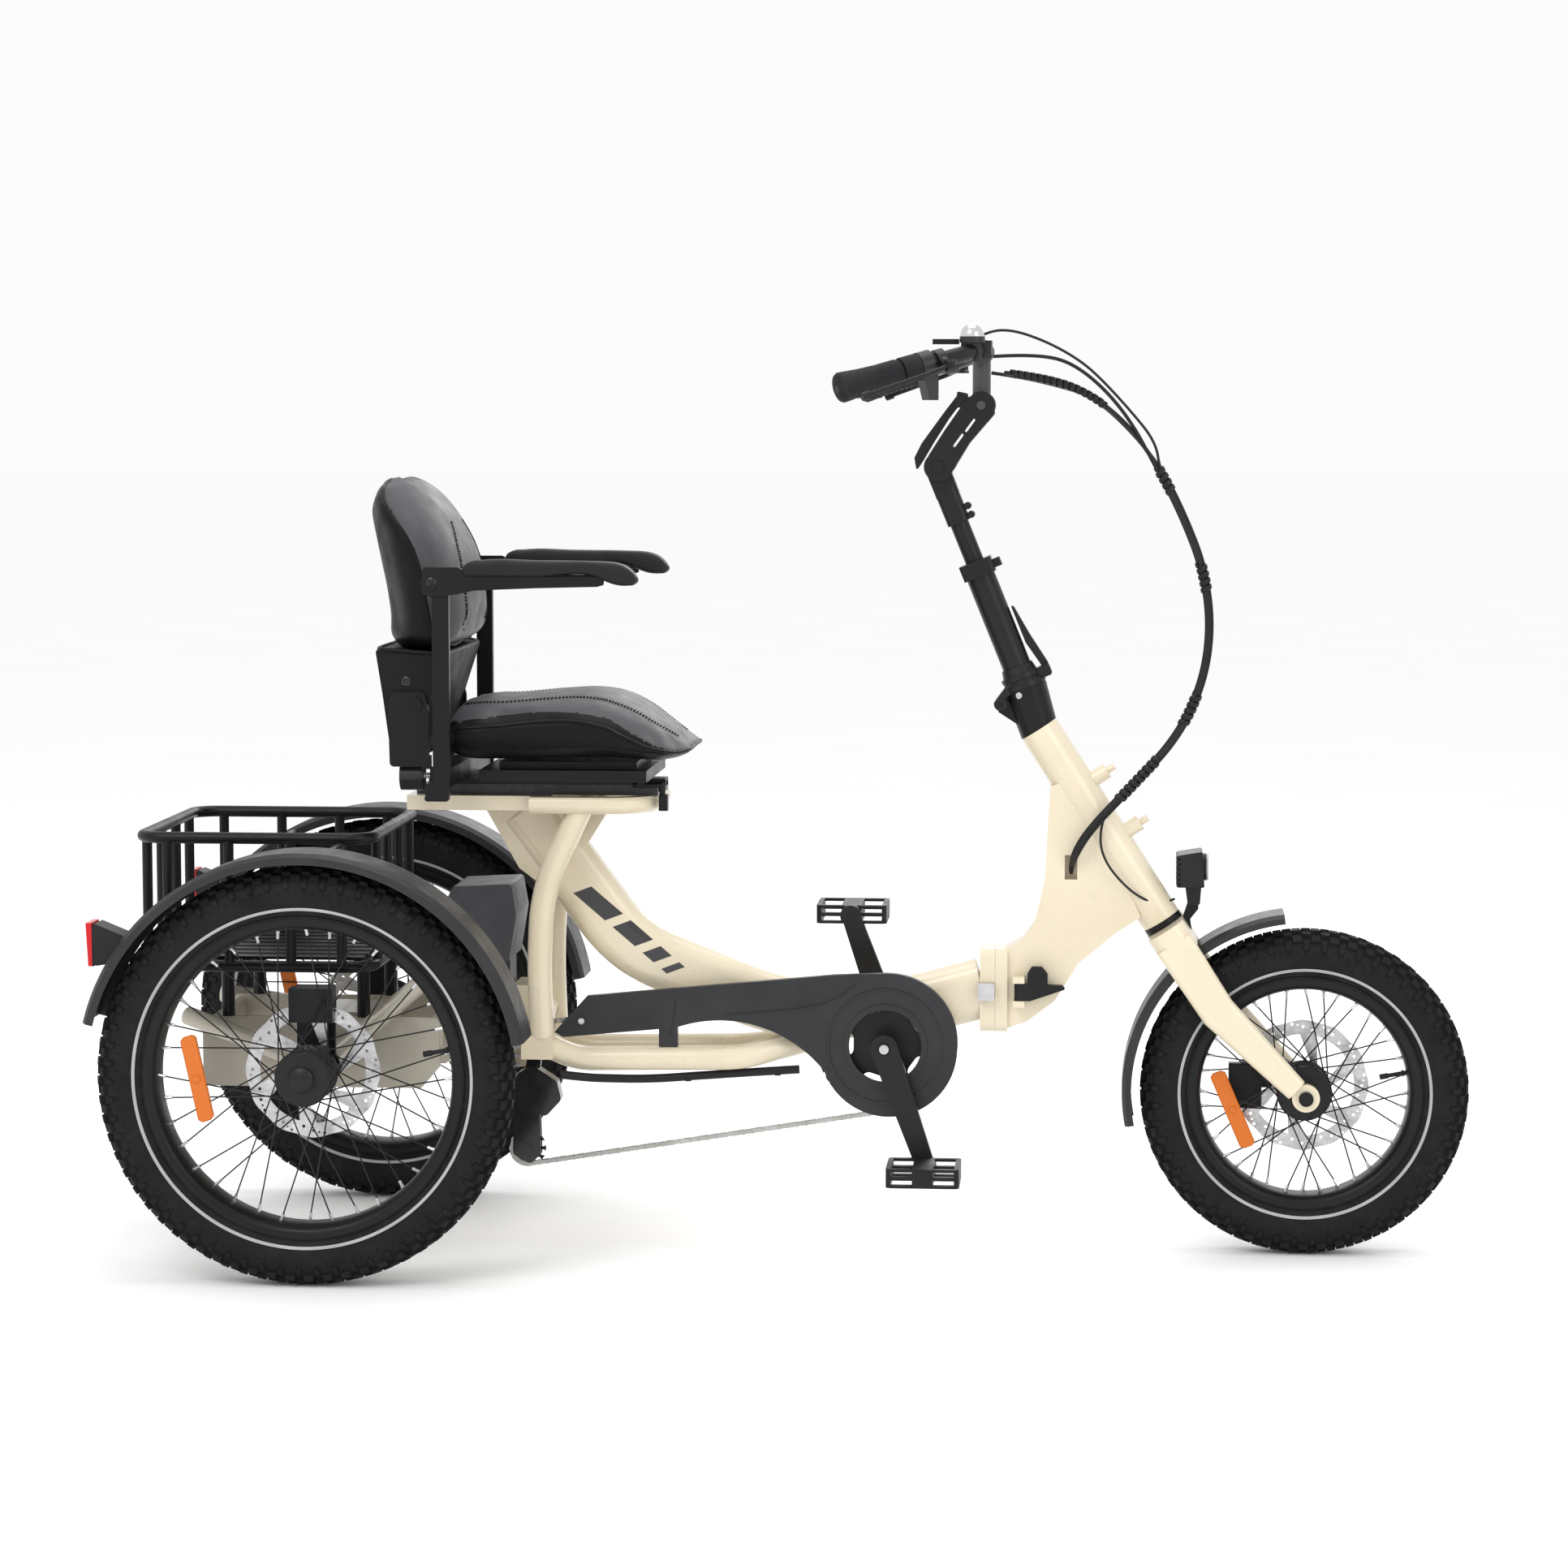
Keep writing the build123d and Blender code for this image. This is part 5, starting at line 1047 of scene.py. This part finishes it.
# %% [markdown]
# Each grip is soft rubber shaped for a palm: fatter towards its end, with finger ribs
# below and a round hole in its end cap. It is a sleeve whose radius depends on how far
# along it is and on which side of it the point lies.
# %% Grips
bend, tip = np.array([886.0, -168, 1247]), np.array([706.0, -261, 1195])
for name, s in (("right", 1), ("left", -1)):
    start, end = bend * (1, s, 1), tip * (1, s, 1)
    along = (end - start) / np.linalg.norm(end - start)
    square = axes_for(along, (0, 0, 1))
    t = np.concatenate([np.linspace(114, 118, 5), np.linspace(121, 200, 40),
        np.linspace(202, 208.5, 8)])
    base = np.interp(t, [114, 116, 118, 150, 175, 195, 203, 207, 208.5],
        [15.5, 17, 17.4, 17.2, 18.2, 20, 20.4, 18, 14])
    a = np.linspace(0, 2 * np.pi, 48, endpoint=False)
    below = np.clip(-np.sin(a), 0, 1)[None, :] ** 2
    ribs = 1.1 * np.sin(2 * np.pi * t / 9)[:, None] * below * ((t > 128) & (t < 186))[:, None]
    r = base[:, None] * (1 + 0.05 * np.sin(a)[None, :] * (t > 120)[:, None]) + ribs
    spots = start + along * t[:, None]
    grid = spots[:, None] + r[...,
        None] * (np.cos(a)[None, :, None] * square[:, 0] + np.sin(a)[None, :, None] * square[:, 1])
    mouth = np.stack([start + along * 209.2 + rr * (np.cos(a)[:, None] * square[:,
        0] + np.sin(a)[:, None] * square[:, 1])
                      for rr in (12.0, 5.2)])
    well = (start + along * 202 + 4.6 * (np.cos(a)[:, None] * square[:, 0] + np.sin(a)[:,
        None] * square[:, 1]))[None]
    grid = np.concatenate([grid, mouth, well])
    piece(f"grip_{name}", rings(grid), grip_rubber, "bars",
        ["grips"] if s > 0 else [])

# %% [markdown]
# The hard parts keep the exact shapes they were packed with and only get their finish,
# chosen by the role each part plays. A few parts carry two finishes, so their shader mixes
# them inside a block of space: the chrome dome of the bell, or the slots in the seat rails.
# %% Finishes with a second colour
rails = Finish("bolts_and_rails", 0.4)
dark_rail = rails.inside((100, -80, 630), (455, 80, 654))
clouds = rails.ramp(rails.noise(30, 4), 0.3, 0.7, 0, 1)
rails.grain(rails.noise(300, 3), 0.12, 0.0003)
rails_finish = rails.close(rails.mix(dark_rail,
    rails.mix(clouds, (0.60, 0.60, 0.61), (0.46, 0.46, 0.47)), (0.012, 0.012, 0.014)),
                           rails.ramp(rails.noise(90, 4), 0.3, 0.7, 0.22,
                               0.40), rails.ramp(dark_rail, 0, 1, 1, 0.1))

def two_tone(name, low, high, second, gloss, pattern, dark, bright=False, mirror=0.5, base=0.4):
    """A dark part with a second finish inside a block of space, mixed by the block's mask."""
    f = Finish(name, base, mirror=mirror)
    mask = f.inside(low, high)
    tone = f.mix(f.ramp(f.noise(30, 4), 0.3, 0.7, 0, 1), *dark)
    f.grain(*pattern(f))
    return f.close(f.mix(mask, tone, second), f.ramp(mask, 0, 1, *gloss), mask if bright else None)


controls_finish = two_tone("controls_and_bell", (858, -168, 1266), (902, -128, 1300),
    (0.66, 0.66, 0.67),
                           (0.42, 0.14), lambda f: (f.cells(900), 0.2, 0.0002),
                           ((0.011, 0.011, 0.012), (0.007, 0.007, 0.008)), bright=True)


def striped_cream(name, low, high, reach):
    """Cream paint with three slanted bars along a line from low to high, on both sides."""
    f = Finish(name, 0.30, 0.0, 0.45, 0.06)
    tone = f.mix(f.ramp(f.noise(6, 4), 0.35, 0.7, 0, 1), (0.75, 0.665, 0.50), (0.69, 0.60, 0.435))
    (x0, _, z0), (x1, _, z1) = place([(low[0], 0, low[1]), (high[0], 0, high[1])])
    far = math.hypot(x1 - x0, z1 - z0)
    u, w = (x1 - x0) / far, (z1 - z0) / far
    x, z = f.maths("SUBTRACT", f.axis("X"), x0), f.maths("SUBTRACT", f.axis("Z"), z0)
    along = f.maths("ADD", f.maths("MULTIPLY", x, u), f.maths("MULTIPLY", z, w))
    aside = f.maths("SUBTRACT", f.maths("MULTIPLY", z, u), f.maths("MULTIPLY", x, w))
    lean = f.maths("ADD", along, f.maths("MULTIPLY", aside, -0.55))
    bars = None
    for start, end in ((0.0, 0.34), (0.42, 0.66), (0.74, 0.86), (0.94, 1.0)):
        bar = f.between(lean, start * far, end * far)
        bars = bar if bars is None else f.maths("MAXIMUM", bars, bar)
    bars = f.maths("MULTIPLY", bars, f.between(aside, -reach, reach))
    bars = f.maths("MULTIPLY", bars,
        f.maths("GREATER_THAN", f.maths("ABSOLUTE", f.axis("Y")), 0.012))
    f.grain(f.noise(240, 2), 0.05, 0.0006)
    return f.close(f.mix(bars, tone, (0.012, 0.012, 0.013)),
        f.ramp(f.noise(30, 4), 0.3, 0.75, 0.25, 0.39))


rear_cream = striped_cream("cream_with_bars", (335, 501), (466, 389), 0.012)
lamp_black = ((0.010, 0.010, 0.011), (0.006, 0.006, 0.007))
knob_finish = two_tone("knob_and_thread", (133, -220, 600), (170, 220, 720), (0.6, 0.6, 0.61),
    (0.4, 0.25),
                       lambda f: (f.maths("SINE", f.maths("MULTIPLY", f.axis("X"), 4200)), 0.3,
                           0.0002),
                       lamp_black, bright=True)
lamp_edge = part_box("headlight")[1].x * 1000 + middle
head_lamp = two_tone("lamp_and_glass", (lamp_edge - 2.5, -60, 480), (lamp_edge + 1, 60, 640),
                     (0.42, 0.43, 0.45), (0.4, 0.12), lambda f: (f.cells(500), 0.3, 0.0004),
                     lamp_black, mirror=0.3, base=0.3)
tail = two_tone("tail_lamp", (-300, -400, 400), (-283.8, 400, 500), (0.55, 0.010, 0.014),
    (0.42, 0.16),
                lambda f: (f.cells(420), 0.35, 0.0004), lamp_black, mirror=0.3, base=0.3)

vinyl_shell = plastic("seat_shell_plastic", (0.008, 0.008, 0.009), (0.005, 0.005, 0.006), 0.5,
    0.35, 700, mirror=0.16)
battery_case = plastic("battery_case", (0.060, 0.061, 0.067), (0.046, 0.047, 0.052), 0.36, 0.3, 800)
# The housing slot gets the darker cream, which is painted shade.
by_slot = {"cream_paint": cream, "housing_paint": housing_in_painted_shade, "black_paint": black_paint,
    "grey_paint": grey_paint,
           "tyre": tyre_rubber, "rim_black": black_metal, "hub_black": black_metal, "steel": steel, "chain_steel": link_steel,
           "black_plastic": black_plastic, "grey_plastic": grey_plastic, "gloss_black": gloss_black, "lamp_red": red_lens,
           "rubber_black": grip_rubber, "vinyl": panel_vinyl, "cable_black": cable_skin, "anodised_black": black_metal}
special = {"frame_fittings": rails_finish, "bar_controls": controls_finish,
    "rear_frame": rear_cream, "backrest_shell": vinyl_shell, "battery": battery_case,
           "knob_right": knob_finish, "knob_left": knob_finish, "headlight": head_lamp, "tail_lights": tail}
slots_of = {s["node"]: s["material_slot"] for s in frame["record"]["subparts"]}
for name, obj in nodes.items():
    finish = special.get(name, by_slot[slots_of[name]])
    if not obj.data.materials:
        obj.data.materials.append(finish)
    for i in range(len(obj.data.materials)):
        obj.data.materials[i] = finish
print("finished nodes", len(nodes))

# %% [markdown]
# A sheaf of control cables leaves the frame behind the head tube, swings forward in a wide
# loop and climbs to the bars. It crosses every joint of the steering column, and the sheaf
# is cut into five lengths.
# %% Lines that the cables follow
def spline_points(points, fine=24):
    """Points of the smooth NURBS line steered by a few control points, in stations."""
    curve = bpy.data.curves.new("line", "CURVE")
    curve.dimensions, curve.resolution_u = "3D", fine
    spline = curve.splines.new("NURBS")
    spline.points.add(len(points) - 1)
    co = np.concatenate([place(points), np.ones((len(points), 1))], 1)
    spline.points.foreach_set("co", co.ravel())
    spline.order_u, spline.use_endpoint_u = 3, True
    holder = bpy.data.objects.new("line", curve)
    mesh = bpy.data.meshes.new_from_object(holder)
    out = np.empty(len(mesh.vertices) * 3)
    mesh.vertices.foreach_get("co", out)
    bpy.data.objects.remove(holder)
    bpy.data.curves.remove(curve)
    bpy.data.meshes.remove(mesh)
    return out.reshape(-1, 3) * 1000 + (middle, 0, 0)


sheaf = np.array([(1015, -5, 529), (1015, -30, 540), (1023, -46, 565), (1044, -48, 597),
    (1096, -48, 652), (1159, -48, 720),
                  (1194, -48, 797), (1204, -48, 875), (1193, -48, 952), (1167, -48, 1019), (1134,
                      -48, 1085)], float)
heads = {"main": ([(1089, -50, 1149), (1034, -58, 1192), (975, -66, 1212), (921, -76, 1218)], 3.0,
    0, 0),
         "upper": ([(1084, -56, 1168), (1022, -64, 1228), (967, -72, 1244), (906, -80, 1240)], 2.5,
             3.6, 2.6),
         "lower": ([(1083, -46, 1150), (1039, -52, 1186), (1000, -58, 1199), (945, -60, 1212),
             (903, -62, 1218)], 2.5, -3.6, 2.4),
         "thin": ([(1127, -50, 1124), (1091, -58, 1168), (1049, -66, 1213), (1020, -72, 1237),
             (978, -80, 1260), (932, -88, 1276),
                   (899, -94, 1274), (880, -100, 1262)], 1.9, 1.6, -4.4)}
way = np.gradient(sheaf, axis=0)
normal = np.stack([-way[:, 2], 0 * way[:, 0], way[:, 0]], -1) * -1
normal /= np.linalg.norm(normal, axis=1, keepdims=True)
wires = {}
for name, (head, radius, out, aside) in heads.items():
    drift = np.clip(np.arange(len(sheaf)) / 2, 0, 1)[:, None]
    offset = -normal * out + np.array([0, aside, 0])
    route = np.concatenate([sheaf + offset * drift, np.array(head, float)])
    wires[name] = (evened(spline_points(route), 4), radius)
print({k: len(v[0]) for k, v in wires.items()})

# %% Cut the sheaf into lengths
shares = [0.0, 0.26, 0.5, 0.66, 0.82, 1.0]
main_line = wires["main"][0]
cuts = [main_line[min(len(main_line) - 1, int(round(s * (len(main_line) - 1))))] for s in shares]
for i in range(5):
    parts = []
    for name, (path, radius) in wires.items():
        ends = [int(np.argmin(np.linalg.norm(path - cuts[k], axis=1))) for k in (i, i + 1)]
        ends = [0 if i == 0 else ends[0], len(path) - 1 if i == 4 else ends[1]]
        points, _ = tube(path, radius, 10)
        grid = points.reshape(len(path), 10, 3)[ends[0]:ends[1] + 1]
        parts.append(rings(grid))
    segment = piece(f"cable_sheaf_{i + 1}", parts, cable_skin, "front_half",
        ["cable_loom"] if i == 0 else [],
                    ride=False)
    place(cuts[i])[0]
    place(cuts[i + 1])[0]
    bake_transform(segment)
    print(segment.name, len(segment.data.vertices))

# %% [markdown]
# Where the cables would rub, a plastic ribbon is wound round the sheaf. It is a flat strip
# carried along a helix about the same line, a little wider than the cables inside.
# %% Spiral wraps
def wrap(line, start, end, radius=7.0, lead=9.0, width=7.0):
    """A ribbon wound on a line: centre + r (cos a, sin a), a = 2 pi s / lead."""
    run = np.concatenate([[0], np.cumsum(np.linalg.norm(np.diff(line, axis=0), axis=1))])
    marks = np.arange(start * run[-1], end * run[-1], 0.75)
    path = np.stack([np.interp(marks, run, line[:, k]) for k in range(3)], -1)
    square = axes_for(np.gradient(path, axis=0))
    a = 2 * np.pi * marks / lead
    u, v, w = square[:, :, 0], square[:, :, 1], square[:, :, 2]
    out = np.cos(a)[:, None] * u + np.sin(a)[:, None] * v
    ring = [path + out * (radius + dr) + w * dw for dr,
        dw in ((-0.5, -width / 2), (0.5, -width / 2 + 0.5), (0.8, 0),
                                                             (0.5, width / 2 - 0.5), (-0.5,
                                                                 width / 2))]
    return rings(np.stack(ring, 1))


for number, (start, end) in enumerate([(0.16, 0.245), (0.31, 0.36), (0.515, 0.56), (0.675, 0.715),
    (0.84, 0.99)], 1):
    i = max(k for k in range(5) if shares[k] <= start + 0.001)
    part = wrap(main_line, start, end, 7.4 if start < 0.8 else 5.4)
    sleeve = piece(f"cable_wrap_{number}", part, cable_skin, "front_half",
        ride=False)
    place(cuts[i])[0]
    place(cuts[i + 1])[0]
    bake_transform(sleeve)

# %% Small wires and clips
lamp_wire = spline_points([(1072, -14, 628), (1062, -30, 615), (1055, -36, 590), (1056, -38, 564),
    (1069, -38, 537), (1098, -34, 506),
                           (1124, -26, 491), (1144, -16, 489), (1158, -8, 494)])
print("lamp wire", round(float(np.linalg.norm(np.diff(lamp_wire, axis=0), axis=1).sum()), 1),
    "sheaf",
      round(float(np.linalg.norm(np.diff(main_line, axis=0), axis=1).sum()), 1))
wire = piece("lamp_wire", tube(lamp_wire, 1.7, 8), cable_skin, "fork", ride=False)
place([1058, -36, 580])[0]
place([1135, -20, 495])[0]
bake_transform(wire)
clips = []
for x, y, z, r in ((486, -54, 243.6, 6.5), (610, -44, 251.6, 6.5)):
    clips.append(turned([(r - 1.6, -4), (r, -4), (r, 4), (r - 1.6, 4)], (x, y, z),
        axis=(1, 0, 0.06), steps=28))
piece("rear_cable_clips", clips, black_plastic, "rear_half")

# %% [markdown]
# Fasteners tell the eye how a thing is put together. A cap screw is one turned profile: a
# rounded head, a rim and a hollow for the key. The same profile in another size makes the
# crank bolt, the guard bolt and the pivots of the seat, each riding on its own body.
# %% Fasteners
def cap_screw(x, z, face, radius, rise):
    """A screw head on a side face at y: a domed rim round a socket, turned about y."""
    s = -1 if face < 0 else 1
    profile = [(0, -1.5), (radius * 0.9, -1.5), (radius, -0.4), (radius, rise * 0.6),
        (radius * 0.82, rise), (radius * 0.5, rise),
               (radius * 0.46, rise * 0.35), (0, rise * 0.35)]
    return turned([(r, s * h) for r, h in profile], (x, face, z), closed=False, steps=24)


guard_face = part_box("chain_guard")[0].y * 1000
crank_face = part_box("crankset")[0].y * 1000
jockeys = [("jockey_upper", 258, 222), ("jockey_lower", 259, 139)]
bright = [("guard_screw", "rear_half", [(338, 322, guard_face, 4.6, 2.2)]),
          ("crank_bolt_right", "crankset", [(760.7, 292, crank_face, 6.5, 0.6)]),
          ("mast_screw", "mast", [(942, 776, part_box("mast")[0].y * 1000 + 0.4, 4.6, 2.6)])]
for body, x, z in jockeys:
    bright.append((body + "_screw", body, [(x, z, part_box(body)[0].y * 1000, 4.8, 1.4)]))
for name, body, screws in bright:
    piece(name, [cap_screw(*s) for s in screws], steel, body)
dark = [("shell_screws", "backrest", "backrest_shell", [(113, 800, 7.0, 2.4)]),
        ("arm_pivot_right", "armrest_right", None, [(156, 937, 7.0, 2.4)]), ("arm_pivot_left",
            "armrest_left", None, [(156, 937, 7.0, 2.4)])]
for name, body, node, screws in dark:
    for s in ((-1, 1) if node else ((-1,) if "right" in name else (1,))):
        face = s * (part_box(node)[1].y * 1000 if node else 206.8)
        made = [cap_screw(x, z, face, r, h) for x, z, r, h in screws]
        piece(name + ("" if not node else "_right" if s < 0 else "_left"), made, gloss_black, body)

# %% Moulding lines of the chain guard
guard_lines = [[(306, 342), (302, 325), (300, 309)],
    [(470, 352), (468, 335), (465, 318), (462, 304)],
               [(540, 334), (600, 338), (660, 346), (700, 360), (722, 380)]]
parts = []
for marks in guard_lines:
    route = np.array([(x, guard_face - 0.05, z) for x, z in marks], float)
    parts.append(tube(spline_points(route), 0.45, 6, up=(0, 1, 0)))
parts.append(turned([(78, -0.5), (79, -0.7), (80, -0.5), (79, 0.1)], (760.7, guard_face, 292),
    steps=120))
piece("guard_lines", parts, gloss_black, "rear_half")

# %% Welt of the backrest shell
shell_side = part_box("backrest_shell")[1].y * 1000
t = np.linspace(0, 2 * np.pi, 160, endpoint=False)
plan = np.stack([np.sign(np.cos(t)) * np.abs(np.cos(t)) ** 0.22,
    np.sign(np.sin(t)) * np.abs(np.sin(t)) ** 0.22], -1)
x = 118 + 47.5 * plan[:, 0]
welt = np.stack([x, (shell_side - 0.5) * plan[:, 1], 843.6 - (x - 70) * 0.0667], -1)
piece("shell_welt", tube(welt, 3.2, 8, up=(0, 0, 1), loop=True), side_vinyl, "backrest")
